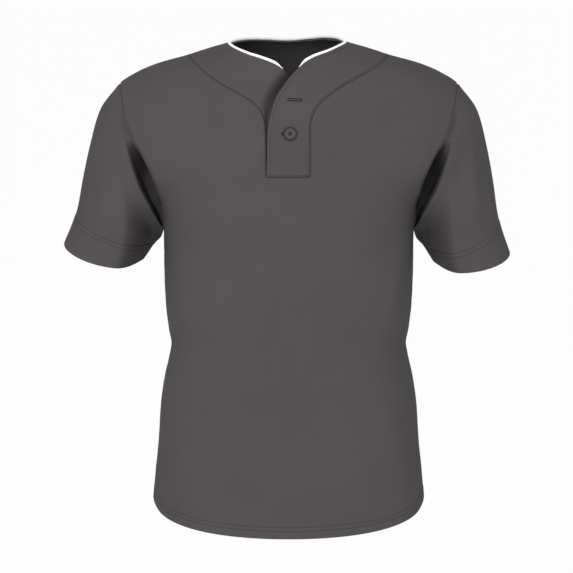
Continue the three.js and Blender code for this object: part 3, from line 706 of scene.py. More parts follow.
def knit(name, dark, light):
    """Jersey knit. Each wale is two leaning legs, so its height goes with the sine of the length round,
    twice in a wale, and each course shifts along with the distance from the wale's middle."""
    finish = Finish(name, Specular_IOR_Level=0.04)
    uv = finish.node("ShaderNodeUVMap", {"uv_map": "cloth"})
    along = finish.node("ShaderNodeSeparateXYZ", inputs={0: uv})
    up = Wire(finish, along.socket.node.outputs[1])
    wale = along / WALE
    legs = (wale * (2 * np.pi)).of("SINE").of("ABSOLUTE")
    lean = (wale.of("FRACT") - 0.5).of("ABSOLUTE")
    loops = ((up / COURSE + lean) * (2 * np.pi)).of("SINE") * 0.5 + 0.5
    place = finish.node("ShaderNodeTexCoord", output=3)
    fleck = finish.node("ShaderNodeTexNoise", inputs={"Vector": place, "Scale": FLECK_SCALE, "Detail": 1})
    cloud = finish.node("ShaderNodeTexNoise", inputs={"Vector": place, "Scale": CLOUD_SCALE, "Detail": 2})
    # Random tone, and painted shade: the knit's colour is darker in the valleys between its loops
    tone_and_painted_shade = fleck * 0.4 + cloud * 0.6 + legs * loops * 0.16 - 0.08
    finish.feed(finish.surface.inputs["Base Color"], finish.blend(tone_and_painted_shade, dark, light))
    finish.feed(finish.surface.inputs["Roughness"], 0.82 + fleck * 0.12)
    height = legs * (0.55 + loops * 0.45) + fleck * 0.3
    bump = finish.node("ShaderNodeBump", inputs={"Strength": 0.3, "Distance": 0.00012, "Height": height})
    finish.feed(finish.surface.inputs["Normal"], bump)
    return finish.material


charcoal_knit = knit("charcoal knit", KNIT_DARK, KNIT_LIGHT)


# Rows of stitches: thread darker than the knit. A stitch is a bar of six sides, given by places along
# it, its width there and how far it dips, in shares of its length and its radius
STITCH_PITCH = 3.3
STITCH_LENGTH = 2.5
THREAD_RADIUS = 0.35
BAR_ALONG = np.array([-0.5, -0.32, 0.32, 0.5])[:, None]
BAR_WIDTH = np.array([0.4, 1, 1, 0.4])[:, None]
BAR_DIP = np.array([-0.9, 0, 0, -0.9])[:, None]
BAR_SIDES = 6
BAR_CAPS = np.array([[3, 2, 1, 0], [5, 4, 3, 0], [18, 19, 20, 21], [18, 21, 22, 23]])
THREAD_DARK = (0.008, 0.005, 0.006, 1)
THREAD_LIGHT = (0.018, 0.012, 0.014, 1)


def stitch_row(points, normals, pitch=STITCH_PITCH, length=STITCH_LENGTH, radius=THREAD_RADIUS):
    """A row of stitches along a line on the cloth. The line is cut into equal steps, and on each lies
    the same small bar of six sides, whose ends are thinner and dip into the cloth."""
    run = np.append(0, np.cumsum(np.linalg.norm(np.diff(points, axis=0), axis=1)))
    count = max(int(run[-1] / pitch), 1)
    at = (np.arange(count) + 0.5) * run[-1] / count

    def read(values, where):
        return np.stack([np.interp(where, run, column) for column in values.T], -1)

    centre = read(points, at)
    ahead = unit(read(points, at + 0.4) - read(points, at - 0.4))
    up = unit(read(normals, at))
    across = np.cross(up, ahead)
    ring = np.arange(BAR_SIDES)
    turn = ring * 2 * np.pi / BAR_SIDES
    width = BAR_WIDTH * radius
    height = BAR_DIP * radius + width * np.sin(turn)
    shape = np.stack([BAR_ALONG * length + 0 * turn, width * np.cos(turn), height], -1).reshape(-1, 3)
    axes = np.stack([ahead, across, up], 1)
    bars = centre[:, None] + np.einsum("kc,ncx->nkx", shape, axes)
    after = (ring + 1) % BAR_SIDES
    level = np.arange(len(BAR_ALONG) - 1)[:, None] * BAR_SIDES
    sides = np.stack([level + ring, level + after, level + BAR_SIDES + after, level + BAR_SIDES + ring], -1)
    faces = np.concatenate([sides.reshape(-1, 4), BAR_CAPS])[:, ::-1]
    starts = len(shape) * np.arange(count)[:, None, None]
    return bars.reshape(-1, 3), (faces + starts).reshape(-1, 4)


def on_cloth(place, spots, seam=None, sink=0.1):
    """Points on the outer face of the cloth along a line of spots, with their normals. Beside a seam
    they follow its relief."""
    points, normals, thickness = place(spots)
    height = thickness / 2 - sink
    if seam is not None:
        sewn = place(seam(FINE))[0]
        height = height + seam_relief(edge_distance(points, sewn[:-1], sewn[1:]), points)
    return points + normals * height[:, None], normals


def stitching(name, rows):
    """Rows of stitches as one piece of thread."""
    made = [stitch_row(*row) for row in rows]
    starts = np.cumsum([0] + [len(points) for points, _ in made])
    faces = np.concatenate([part + start for (_, part), start in zip(made, starts)])
    piece = mesh_piece(name, np.concatenate([points for points, _ in made]), faces)
    piece.data.materials.append(dark_thread)
    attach(piece, "root")
    return piece


def thread(name, dark, light):
    """Spun sewing thread with fine flecks of tone."""
    finish = Finish(name, Specular_IOR_Level=0.1)
    place = finish.node("ShaderNodeTexCoord", output=3)
    fleck = finish.node("ShaderNodeTexNoise", inputs={"Vector": place, "Scale": 1600, "Detail": 1})
    finish.feed(finish.surface.inputs["Base Color"], finish.blend(fleck, dark, light))
    finish.feed(finish.surface.inputs["Roughness"], 0.6 + fleck * 0.2)
    return finish.material


dark_thread = thread("charcoal thread", THREAD_DARK, THREAD_LIGHT)

front = cloth_wall("front", front_grids(), place_on_body(), body_map(0), body_hem_open)
front.data.materials.append(charcoal_knit)
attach(front, "root")
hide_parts("front_panel")

FINE = np.linspace(0, 1, 400)
front_stitches = stitching(
    "front_stitches",
    [on_cloth(place_on_body(), hem_line(-QUARTER, QUARTER, row)(FINE)) for row in HEM_STITCH_ROWS],
)


# Back panel
# One piece of the same knit, from the hem up to the back neck, sewn to the front at the sides and to
# the yokes at the shoulders. Its hem carries on the front's two rows of stitches.

BACK_NECK = table(
    "turn drop",
    (90, 0),
    (104, -2.6),
    (118, -4.2),
    (135, -4.2),
    (156, -1.6),
    (182, 1.6),
    (205, -0.3),
    (227, -1.4),
    (250, -0.6),
    (270, 1.4),
)
RIGHT_NECK_DROP = 1.4
NECK_STITCH = 6.5
NECK_STITCH_TURNS = (97, 263)
BACK_GUIDE = table(
    "across drop",
    (118, 212),
    (128, 130),
    (127, 60),
    (112, 15),
    (87, 0),
)
back_guide = front_line(BACK_GUIDE)


def back_neck(start, end):
    """The back neck's edge between two turns in degrees."""

    def line(share):
        turn = start + (end - start) * np.asarray(share)
        return np.stack([np.radians(turn), curve(BACK_NECK, "turn", "drop", turn)], -1)

    return line


def near_line(line, spots, reach=0.05):
    """Tells which spots lie on a line on the cloth."""
    fine = body_point(*line(np.linspace(0, 1, 600)).T)
    return edge_distance(body_point(*spots.T), fine[:-1], fine[1:]) < reach


def round_back(line):
    """A line of the right half, with its turns counted on past the middle of the back."""

    def onwards(share):
        turn, drop = line(share).T
        return np.stack([np.where(turn < 0, turn + 2 * np.pi, turn), drop], -1)

    return onwards


def back_grids():
    """The back's grids: the hem, the part up to the shoulder blades, and three parts up to the
    shoulder seams and the neck."""

    def guide(side):
        return round_back(lambda share: (back_guide(share) - (np.pi, 0)) * (-side, 1))

    def arm(side, start, end):
        return round_back(arm_line(side, True, start, end))

    arm_left = spread(arm(1, LOW_ARM, 0), BODY_STEP, start=PLAIN)
    arm_right = matched(arm(-1, LOW_ARM, 0), arm_left)
    guide_left = matched(guide(1), arm_left)
    guide_right = matched(guide(-1), arm_left)
    blade_left = spread(straight(arm_left[0], guide_left[0]), BODY_STEP)
    blade_right = spread(straight(guide_right[0], arm_right[0]), BODY_STEP)
    middle = spread(straight(guide_left[0], guide_right[0]), BODY_STEP)
    low_left = spread(arm(1, 0.5, LOW_ARM), BODY_STEP, end=PLAIN)
    low_right = spread(arm(-1, LOW_ARM, 0.5), BODY_STEP, start=PLAIN)
    top = np.concatenate([low_left, blade_left[1:], middle[1:], blade_right[1:], low_right[1:]])
    side_left = spread(side_seam(QUARTER), BODY_STEP, start=PLAIN)
    side_right = side_left + (np.pi, 0)
    band = hem_band(QUARTER, 3 * QUARTER, top)
    shoulder_left = matched(straight((QUARTER, SHOULDER_DROP), (QUARTER, 0)), blade_left)
    shoulder_right = matched(
        straight((3 * QUARTER, RIGHT_NECK_DROP), (3 * QUARTER, SHOULDER_DROP)), blade_right,
    )
    return [
        band,
        fill(band[-1], top, side_left, side_right),
        fill(blade_left, shoulder_left, arm_left, guide_left),
        fill(middle, matched(back_neck(90, 270), middle), guide_left, guide_right),
        fill(blade_right, shoulder_right, guide_right, arm_right),
    ]


def back_sewn(spots):
    """Sewn edges of the back: all but the hem and the neck."""
    return body_hem_open(spots) & ~near_line(back_neck(90, 270), spots)


back = cloth_wall("back", back_grids(), place_on_body(), body_map(np.pi), back_sewn)
back.data.materials.append(charcoal_knit)
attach(back, "root")
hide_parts("back_panel")
hem_rows = [on_cloth(place_on_body(), hem_line(QUARTER, 3 * QUARTER, row)(FINE)) for row in HEM_STITCH_ROWS]
neck_row = back_neck(*NECK_STITCH_TURNS)(FINE) + (0, NECK_STITCH)
outside, outward = on_cloth(place_on_body(), neck_row)
inner_face = (outside - outward * (CLOTH - 0.2), -outward)
back_stitches = stitching("back_stitches", [*hem_rows, (outside, outward), inner_face])


# Right yoke
# The wearer's right yoke runs from the shoulder seam round the neck and down into the underlap, which
# carries the buttons. It is cut in one piece of the same knit and sewn to the front and the shoulder.

YOKE_STEP = 2.4
UNDERLAP_EDGE = table(
    "across drop",
    (22, PLACKET_DROP),
    (22, 130),
    (21, 90),
    (17, 62),
    (10, 47),
    (1, 39.5),
    (-8, 32),
    (-17, 26),
    (-27, 21.5),
    (-47, 15),
    (-59, 12),
    (-70, 8.5),
    (-80, 5.4),
    (-92, RIGHT_NECK_DROP),
)
PLACKET_EDGE = table(
    "across drop",
    (-31.5, PLACKET_DROP),
    (-31.5, 150),
    (-30.5, 124),
    (-26.5, 98),
    (-17, 71),
    (-8, 57),
    (0, 46),
    (10, 35),
    (17, 28),
    (25, 21.5),
    (34, 16.5),
    (44, 12.5),
    (56, 9),
    (67, 5.5),
    (77, 2.5),
    (87, 0),
)
PLACKET_STEP = 1.4
UNDERLAP_SINK = 0.6
UNDERLAP_SLOPE = 1.2
PARTING_FROM_DROP = 125
PARTING_TO_DROP = 60
PLACKET_PARTING = 3
UNDERLAP_PARTING = 20
UNDERLAP_REACH = 25
UNDERLAP_SLIT = 7
UNDERLAP_SINKS_FROM = -80
SLIT_WIDTH = (-4, 2)
SLIT_TOP = (70, 108)
SLIT_FOOT = (180, 150)
PLACKET_ROLL = 1.3
PLACKET_ROLL_REACH = 9
PLACKET_ROLL_FOOT = (182, 165)
OPENING_RIGHT = -33.5
OPENING_LEFT = 32
underlap_edge = front_line(UNDERLAP_EDGE)


def underlap_lift(across, drop):
    """The underlap lies under the placket. It sinks beside the seam, and above the closed button it
    falls away towards the placket's edge."""
    share = np.clip((across - OPENING_RIGHT) / (OPENING_LEFT - OPENING_RIGHT), 0, 1)
    under = ease(UNDERLAP_SINKS_FROM, OPENING_RIGHT, across) * (UNDERLAP_SINK + UNDERLAP_SLOPE * share)
    slit = ease(*SLIT_WIDTH, across - OPENING_RIGHT) * ease(*SLIT_FOOT, drop) * ease(*SLIT_TOP, drop)
    edge = np.interp(drop, PLACKET_EDGE["drop"][::-1], PLACKET_EDGE["across"][::-1])
    parting = ease(PARTING_FROM_DROP, PARTING_TO_DROP, drop) * ease(-UNDERLAP_REACH, 2, across - edge)
    return -under - UNDERLAP_SLIT * slit - UNDERLAP_PARTING * parting


def sewn_except(free_edge):
    """Sewn edges of a piece: all but its free edge."""
    return lambda spots: ~near_line(free_edge, spots)


seam = spread(yoke_seam_right, YOKE_STEP)
edge = matched(underlap_edge, seam)
foot = spread(straight(seam[0], edge[0]), YOKE_STEP)
top = matched(straight((-QUARTER, YOKE_TOP_DROP), (-QUARTER, RIGHT_NECK_DROP)), foot)
right_yoke = cloth_wall(
    "right_yoke",
    [fill(foot, top, seam, edge)],
    place_on_body(underlap_lift),
    body_map(0),
    sewn_except(underlap_edge),
)
right_yoke.data.materials.append(charcoal_knit)
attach(right_yoke, "root")
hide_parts("yoke_right")


# Left yoke
# The wearer's left yoke runs down into the top placket, which has the two buttonholes. Its free edge is
# turned under and stitched, its foot is stitched down over the front, and it ends above the chest.

placket_edge = front_line(PLACKET_EDGE)
EDGE_STITCH = 4
SEAM_STITCH = 2.6
BOX_STITCH = 6.4
FOOT_STITCH = 2.6
BOX_STITCH_DROP = 146
EDGE_ROWS = np.array([0, 0.4, 1, 1.8, 2.8, 3.4, 3.7, 4, 4.3, 4.7, 5.4, 7])


def placket_lift(across, drop):
    """The placket stands proud at its free edge, which rolls up a little, and comes down flush with the
    square of the way across to its seam."""
    share = np.clip((across - OPENING_RIGHT) / (OPENING_LEFT - OPENING_RIGHT), 0, 1)
    parting = ease(PARTING_FROM_DROP, PARTING_TO_DROP, drop)
    roll = (1 - ease(0, PLACKET_ROLL_REACH, across - OPENING_RIGHT)) * ease(*PLACKET_ROLL_FOOT, drop)
    return PLACKET_STEP * (1 - share**2) + PLACKET_PARTING * parting * (1 - share) + PLACKET_ROLL * roll


seam = spread(yoke_seam_left, YOKE_STEP)
edge = matched(placket_edge, seam)
foot = spread(straight(edge[0], seam[0]), YOKE_STEP, start=EDGE_ROWS)
top = matched(straight((QUARTER, 0), (QUARTER, YOKE_TOP_DROP)), foot)
left_yoke = cloth_wall(
    "left_yoke",
    [fill(foot, top, edge, seam)],
    place_on_body(placket_lift),
    body_map(0),
    sewn_except(placket_edge),
)
left_yoke.data.materials.append(charcoal_knit)
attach(left_yoke, "root")
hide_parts("yoke_left")


def beside(line, distance, spots=300):
    """A line on the cloth drawn to one side of another, seen from the front."""
    fine = line(np.linspace(0, 1, spots))
    points = body_point(*fine.T)[:, [0, 2]]
    ahead = unit(np.gradient(points, axis=0))
    moved = points + distance * np.stack([ahead[:, 1], -ahead[:, 0]], -1)
    return np.stack([turn_at(moved[:, 0], -moved[:, 1]), -moved[:, 1]], -1)


def level_line(start, end, drop):
    """A level line on the front between two distances across."""
    return straight((turn_at(start, drop), drop), (turn_at(end, drop), drop))


place_placket = place_on_body(placket_lift)
free_row = beside(placket_edge, EDGE_STITCH)
free_row = free_row[(free_row[:, 1] < PLACKET_DROP - 3) & (free_row[:, 0] < 1.2)]
side_row = beside(yoke_seam_left, -SEAM_STITCH)
side_row = side_row[side_row[:, 1] > 2]
inner_row = beside(yoke_seam_left, -BOX_STITCH)
inner_row = inner_row[inner_row[:, 1] > BOX_STITCH_DROP]
foot_seam = level_line(-31, 32, PLACKET_DROP)
foot_row = level_line(-30, 30, PLACKET_DROP - FOOT_STITCH)(FINE)
left_stitches = stitching("left_yoke_stitches", [
    on_cloth(place_placket, free_row),
    on_cloth(place_placket, side_row, yoke_seam_left),
    on_cloth(place_placket, inner_row, yoke_seam_left),
    on_cloth(place_placket, foot_row, foot_seam),
])


# Sleeves
# Two set-in short sleeves of the same knit, each one piece sewn into a tube under the arm, with a deep
# turned hem held by two rows of stitches. The wearer's left one hangs a little lower.

SLEEVE = table(
    "along out out_drop in in_drop middle front back sag",
    (0, 252, 62, 192.5, 236, 4.5, 62, 60, 0),
    (0.2, 281.5, 102, 187.8, 257, 5, 65, 64, 2),
    (0.4, 296, 152, 187.8, 276, 6, 65, 64, 5),
    (0.6, 307, 202, 191.4, 294, 7, 62, 62, 8),
    (0.8, 316, 250, 205, 309, 8, 59, 59, 11),
    (0.9, 324, 274, 211, 318, 8.5, 57, 57, 12),
    (1, 336, 303, 218, 328, 9, 55, 56, 14),
)
LEFT_LOWER_OUT_DROP = 14
LEFT_LOWER_OUT = -5
LEFT_LOWER_IN_DROP = 4
SLEEVE_UPPER_LENGTH = 262
SLEEVE_UNDERARM_LENGTH = 104
SLEEVE_SETTLES_BY = 0.4
SLEEVE_ARMPIT_STEP = 0.9
ARMPIT_STEP_RANGE = (0.2, 0.85)
SLEEVE_SEAM_SHARE = 0.04

# Under the arm the cloth falls in. Beside the armhole is a deep pocket, whose far side is a sharp lip:
# the share of the sleeve's length at which the lip lies, by the turn away from the top of the sleeve
SLEEVE_POCKET = table(
    "turn lip",
    (50, 0.03),
    (66, 0.045),
    (76, 0.08),
    (86, 0.14),
    (95, 0.195),
    (111, 0.265),
    (124, 0.295),
    (140, 0.345),
    (160, 0.415),
    (180, 0.44),
)
POCKET_LIP = 0.045
POCKET_DEPTH = 0.98
POCKET_STARTS_BY = 0.03
POCKET_TURNS = (76, 113)
# Towards the cuff is a broad hollow: the turn at which it begins, by the share of the sleeve's length
SLEEVE_HOLLOW = table(
    "along turn",
    (0.3, 80),
    (0.42, 83),
    (0.51, 88),
    (0.68, 95),
    (0.87, 104),
    (1, 108),
)
HOLLOW_TURN = 50
HOLLOW_END = (148, 236)
HOLLOW_ALONG = (0.23, 0.62)
HOLLOW_DEPTH = 58
BEHIND_SHARE = 0.32
UNDERARM_FORWARD = 17
FORWARD_TURNS = (130, 180)
FORWARD_BY = 0.1
FORWARD_ENDS = (0.3, 0.46)
SLEEVE_HEM = 33
CUFF_EDGE_OVER = 1.5
CUFF_STITCH_ROWS = (28, 34)
CUFF_SLANT = {-1: (7, 0), 1: (9, -7)}
CUFF_SLANTS_BY = 24
CUFF_ROWS = np.array([
    0, 0.6, 1.4, 2.8, 5, 8, 12, 16, 20, 24, 26.4, 27.3, 27.7, 28, 28.3, 28.7, 29.6, 31, 32.4, 33.3, 33.7, 34,
    34.3, 34.7, 35.6, 37.4,
])
SLEEVE_ROWS = 84
SLEEVE_COLUMNS = 180

# Folds of the sleeves: side, turn round the sleeve and share of its length at both ends, width, height
SLEEVE_FOLDS = (
    (1, 52, 0.24, 60, 0.72, 13, 3.5),
    (1, 78, 0.2, 84, 0.7, 14, -3),
    (-1, 60, 0.3, 66, 0.8, 15, 2.5),
    (1, -118, 0.12, -148, 0.5, 21, -5),
    (-1, -116, 0.12, -150, 0.5, 21, -5.5),
    (1, -60, 0.25, -72, 0.8, 15, 3),
    (-1, -52, 0.2, -66, 0.75, 14, 3),
    (1, 46, 0.03, 90, 0.05, 9, -5),
    (-1, 42, 0.03, 90, 0.05, 9, -5.5),
)
SLEEVE_MM_PER_DEGREE = 1.2
SLEEVE_MM_ALONG = 190


def sleeve_ring(side, turn, along):
    """A ring of the sleeve through the upper line, the front, the underarm and the back: the two lines
    lie on its cosine and the depths on its sine."""
    row = {name: curve(SLEEVE, "along", name, along) for name in SLEEVE if name != "along"}
    lower = along**2 if side > 0 else 0 * along
    share = (1 + np.cos(turn)) / 2
    out = row["out"] + LEFT_LOWER_OUT * lower - row["in"]
    out_drop = row["out_drop"] + LEFT_LOWER_OUT_DROP * lower
    in_drop = row["in_drop"] + LEFT_LOWER_IN_DROP * lower
    depth = np.where(np.sin(turn) > 0, -row["front"], row["back"])
    return np.stack([
        side * (row["in"] + out * share),
        row["middle"] + depth * np.abs(np.sin(turn)),
        -in_drop - (out_drop - in_drop) * share - row["sag"] * np.sin(turn),
    ], -1)


def armhole_spots(side, turn):
    """The armhole's spots on the body at given turns round the sleeve."""
    share = (turn / (2 * np.pi)) % 1
    return np.where(
        (share <= 0.5)[:, None],
        armhole_spot(side, False, np.minimum(share, 0.5)),
        armhole_spot(side, True, 1 - np.maximum(share, 0.5)),
    )


def armhole_normal(side, turn):
    """The body's outward direction along the armhole."""
    return body_normal(*armhole_spots(side, turn).T)


def armhole_seam(side, turn):
    """The armhole's own line on the body, which stands a step clear of the body under the arm."""
    points, normals, _ = place_on_body()(armhole_spots(side, turn))
    step = SLEEVE_ARMPIT_STEP * ease(*ARMPIT_STEP_RANGE, (1 - np.cos(turn)) / 2)
    return points + normals * step[:, None]


def fall_in(turn, along, forward):
    """How far back the cloth moves under the arm, from its place ahead of the sleeve's middle. In the
    pocket it loses a share of that, less behind. In the hollow the front is pushed back, and beside
    the body the underarm comes a little forward."""
    away = np.degrees(np.arccos(np.cos(turn)))
    round_it = np.degrees(turn) % 360
    lip = curve(SLEEVE_POCKET, "turn", "lip", away)
    pocket = ease(0, POCKET_STARTS_BY, along) * (1 - ease(lip - POCKET_LIP, lip, along))
    pocket = pocket * ease(*POCKET_TURNS, away)
    lost = POCKET_DEPTH * pocket * np.where(np.sin(turn) > 0, 1, BEHIND_SHARE)
    start = curve(SLEEVE_HOLLOW, "along", "turn", along)
    inside = ease(start, start + HOLLOW_TURN, round_it) * (1 - ease(*HOLLOW_END, round_it))
    hollow = HOLLOW_DEPTH * ease(*HOLLOW_ALONG, along) * inside
    beside_body = ease(0, FORWARD_BY, along) * (1 - ease(*FORWARD_ENDS, along)) * ease(*FORWARD_TURNS, away)
    return lost * forward + hollow - UNDERARM_FORWARD * beside_body


def sleeve_surface(side, turn, along):
    """The sleeve's cloth before its small folds: it starts as the armhole's line, settles into the
    table's rings and falls in under the arm."""
    fitted = 1 - ease(0, SLEEVE_SETTLES_BY, along)
    shift = armhole_seam(side, turn) - sleeve_ring(side, turn, 0 * along)
    points = sleeve_ring(side, turn, along) + shift * fitted[:, None]
    points[:, 1] += fall_in(turn, along, curve(SLEEVE, "along", "middle", along) - points[:, 1])
    return points


def sleeve_length(turn):
    """Length from the armhole to the cuff, by the turn's cosine between the underarm and the top."""
    return SLEEVE_UNDERARM_LENGTH + (SLEEVE_UPPER_LENGTH - SLEEVE_UNDERARM_LENGTH) * (1 + np.cos(turn)) / 2


def sleeve_folds(side, turn, along):
    """The sum of a sleeve's folds, which die out towards the armhole seam."""
    total = sum(
        fold_height(
            degrees_from(from_turn, np.degrees(turn)) * SLEEVE_MM_PER_DEGREE,
            (along - from_along) * SLEEVE_MM_ALONG,
            (to_turn - from_turn) * SLEEVE_MM_PER_DEGREE,
            (to_along - from_along) * SLEEVE_MM_ALONG,
            width,
            height,
        )
        for fold_side, from_turn, from_along, to_turn, to_along, width, height in SLEEVE_FOLDS
        if fold_side == side
    )
    return ease(0, SLEEVE_SEAM_SHARE, along) * total


def cuff_shift(side, turn):
    """How much deeper the hem is sewn at the outer side, by the turn's cosine, and in front, by its
    sine."""
    outer, front_shift = CUFF_SLANT[side]
    return outer * np.cos(turn) + front_shift * np.sin(turn)


def cuff_along(side, turn, above):
    """The share of the sleeve's length at a distance above the cuff's edge."""
    return 1 - (above + cuff_shift(side, turn) * ease(0, CUFF_SLANTS_BY, above)) / sleeve_length(turn)


def place_on_sleeve(side):
    """Places spots on a sleeve, with its folds, its thicker hem and the dips of the stitch rows."""

    def place(spots):
        turn, along = spots.T
        near, far = np.maximum(along - 0.01, 0), np.minimum(along + 0.01, 1)
        about = sleeve_surface(side, turn + 0.01, along) - sleeve_surface(side, turn - 0.01, along)
        down = sleeve_surface(side, turn, far) - sleeve_surface(side, turn, near)
        normal = side * unit(np.cross(about, down))
        at_seam = (1 - ease(0, SLEEVE_SEAM_SHARE, along))[:, None]
        normal = unit(normal * (1 - at_seam) + armhole_normal(side, turn) * at_seam)
        above = (1 - along) * sleeve_length(turn) - cuff_shift(side, turn)
        groove = stitch_groove(above, CUFF_STITCH_ROWS)
        turned = 1 - ease(SLEEVE_HEM - HEM_EDGE_UNDER, SLEEVE_HEM + CUFF_EDGE_OVER, above)
        thickness = CLOTH + (HEM_CLOTH - CLOTH) * turned - GROOVE_PRESS * groove
        height = sleeve_folds(side, turn, along) - GROOVE_SINK * groove
        return sleeve_surface(side, turn, along) + normal * height[:, None], normal, thickness

    return place


def sleeve_grid(side):
    """Rows from the armhole to the cuff, closer together at the seam and at the hem's stitches."""
    turn = np.linspace(0, 2 * np.pi, SLEEVE_COLUMNS + 1)
    length = sleeve_length(turn)
    start = (SEAM_ROWS[:-1, None] + 0 * turn) / length
    low, high = SEAM_ROWS[-1] / length, cuff_along(side, turn, CUFF_ROWS[-1])
    share = np.linspace(0, 1, SLEEVE_ROWS)[:, None]
    middle = low + (high - low) * share
    along = np.concatenate([start, middle, cuff_along(side, turn, CUFF_ROWS[-2::-1, None])])
    grid = np.stack([turn + 0 * along, along], -1)
    return grid if side > 0 else grid[:, ::-1]


def sleeve_map(spots):
    """The knit's map on a sleeve: the length round it and the length down it."""
    turn, along = spots.T
    return np.stack([turn * SLEEVE_MM_PER_DEGREE * 180 / np.pi, -along * sleeve_length(turn)], -1)


def sleeve_sewn(spots):
    """The sewn edge of a sleeve: the armhole's, and not the cuff's."""
    return spots[:, 1] < 0.5


for side, word, node in ((-1, "right", "sleeve_right"), (1, "left", "sleeve_left")):
    place = place_on_sleeve(side)
    sleeve = cloth_wall(f"{word}_sleeve", [sleeve_grid(side)], place, sleeve_map, sleeve_sewn)
    sleeve.data.materials.append(charcoal_knit)
    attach(sleeve, "root")
    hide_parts(node)
    turns = FINE * 2 * np.pi
    rows = [np.stack([turns, cuff_along(side, turns, row)], -1) for row in CUFF_STITCH_ROWS]
    cuff_stitches = stitching(f"{word}_sleeve_stitches", [on_cloth(place, row) for row in rows])


# Neck piping
# A white cord in a strip of cloth, sewn in along the neck. It runs from the underlap round the back to
# the placket, and its two ends are tucked away at the front opening.

PIPING_RADIUS = 2.15
PIPING_GAP = 0.3
PIPING_RIGHT_END_DROP = 31
PIPING_LEFT_END_DROP = 29
PIPING_SIDES = 18
PIPING_STEP = 1.2
PIPING_TAPER = 16
PIPING_SINK = 1.2
NORMAL_REACH = 3
# How far the piping's painted shade is turned round the cord at the front and at the back of the neck, and
# the depth back over which it changes
PAINTED_SHADE_ROLL_FRONT = 0.9
PAINTED_SHADE_ROLL_BACK = 0.1
PAINTED_SHADE_ROLLS_OVER = 25


def neck_run(line, lift, end_drop):
    """Edge points of one stretch of the neck above a drop, with their normals."""
    spots = line(np.linspace(0, 1, 500))
    points, normals, _ = place_on_body(lift)(spots[spots[:, 1] <= end_drop])
    return points, normals


def evenly(points, step):
    """Shares of a line's points at an even step of its length."""
    run = np.append(0, np.cumsum(np.linalg.norm(np.diff(points, axis=0), axis=1)))
    return run, np.linspace(0, run[-1], int(run[-1] / step) + 1)


def cord(name, points, normals, radius, sides, roll):
    """A round cord along a line: at each step a ring lies across the line, between the normal and the
    direction that is square to both. Its ends are closed by small caps. Roll turns its inner face, which its
    map marks for painted shade."""
    ahead = unit(np.gradient(points, axis=0))
    across = unit(np.cross(ahead, normals))
    up = np.cross(across, ahead)
    turn = 2 * np.pi * np.arange(sides) / sides
    rings = points[:, None] + radius[:, None, None] * (
        np.cos(turn)[None, :, None] * across[:, None] + np.sin(turn)[None, :, None] * up[:, None]
    )
    index = np.arange(len(points) * sides).reshape(-1, sides)
    after = np.roll(index, -1, axis=1)
    body = np.stack([index[:-1], index[1:], after[1:], after[:-1]], -1).reshape(-1, 4)
    half = np.arange(1, sides // 2)
    cap = np.stack([half, half - 1, sides - half, sides - half - 1], -1)
    ends = np.concatenate([cap, cap[:, ::-1] + (len(points) - 1) * sides])
    faces = np.concatenate([body[:, ::-1], ends])
    # The map's first column marks how far each face turns towards the inner face: the mask of the piping's
    # painted shade
    inside = (1 + np.cos(turn[faces % sides] + roll[faces // sides])) / 2
    maps = np.stack([inside / MM, faces // sides * PIPING_STEP], -1)
    return mesh_piece(name, rings.reshape(-1, 3), faces, maps.reshape(-1, 2))


right_run = neck_run(underlap_edge, underlap_lift, PIPING_RIGHT_END_DROP)
left_run = neck_run(placket_edge, placket_lift, PIPING_LEFT_END_DROP)
back_spots = back_neck(270, 90)(np.linspace(0, 1, 500))[1:-1]
back_points, back_normals, _ = place_on_body()(back_spots)
neck_points = np.concatenate([right_run[0], back_points, left_run[0][::-1]])
neck_normals = np.concatenate([right_run[1], back_normals, left_run[1][::-1]])
run, wanted = evenly(neck_points, PIPING_STEP)
neck_points = np.stack([np.interp(wanted, run, column) for column in neck_points.T], -1)
neck_normals = unit(np.stack([np.interp(wanted, run, column) for column in neck_normals.T], -1))
smooth = np.ones(2 * NORMAL_REACH + 1) / (2 * NORMAL_REACH + 1)
for _ in range(2):
    padded = np.pad(neck_normals, ((NORMAL_REACH, NORMAL_REACH), (0, 0)), mode="edge")
    neck_normals = unit(np.stack([np.convolve(column, smooth, "valid") for column in padded.T], -1))
inward = unit(np.cross(np.gradient(neck_points, axis=0), neck_normals))
to_end = np.minimum(wanted, wanted[-1] - wanted)
radius = PIPING_RADIUS * (0.3 + 0.7 * ease(0, PIPING_TAPER, to_end))
sink = PIPING_SINK * (1 - ease(0, PIPING_TAPER, to_end))
centres = neck_points + inward * (radius + PIPING_GAP)[:, None] - neck_normals * sink[:, None]

PIPING_WHITE = (0.82, 0.82, 0.81, 1)
PIPING_SHADE = (0.74, 0.74, 0.74, 1)
# Painted shade on the piping: the grey of its face inside the neck, the share of the inward turn where it
# starts, and how sharply it comes in
PIPING_PAINTED_SHADE = (0.62, 0.62, 0.62, 1)
PAINTED_SHADE_FROM = 0.425
PAINTED_SHADE_SHARPNESS = 4


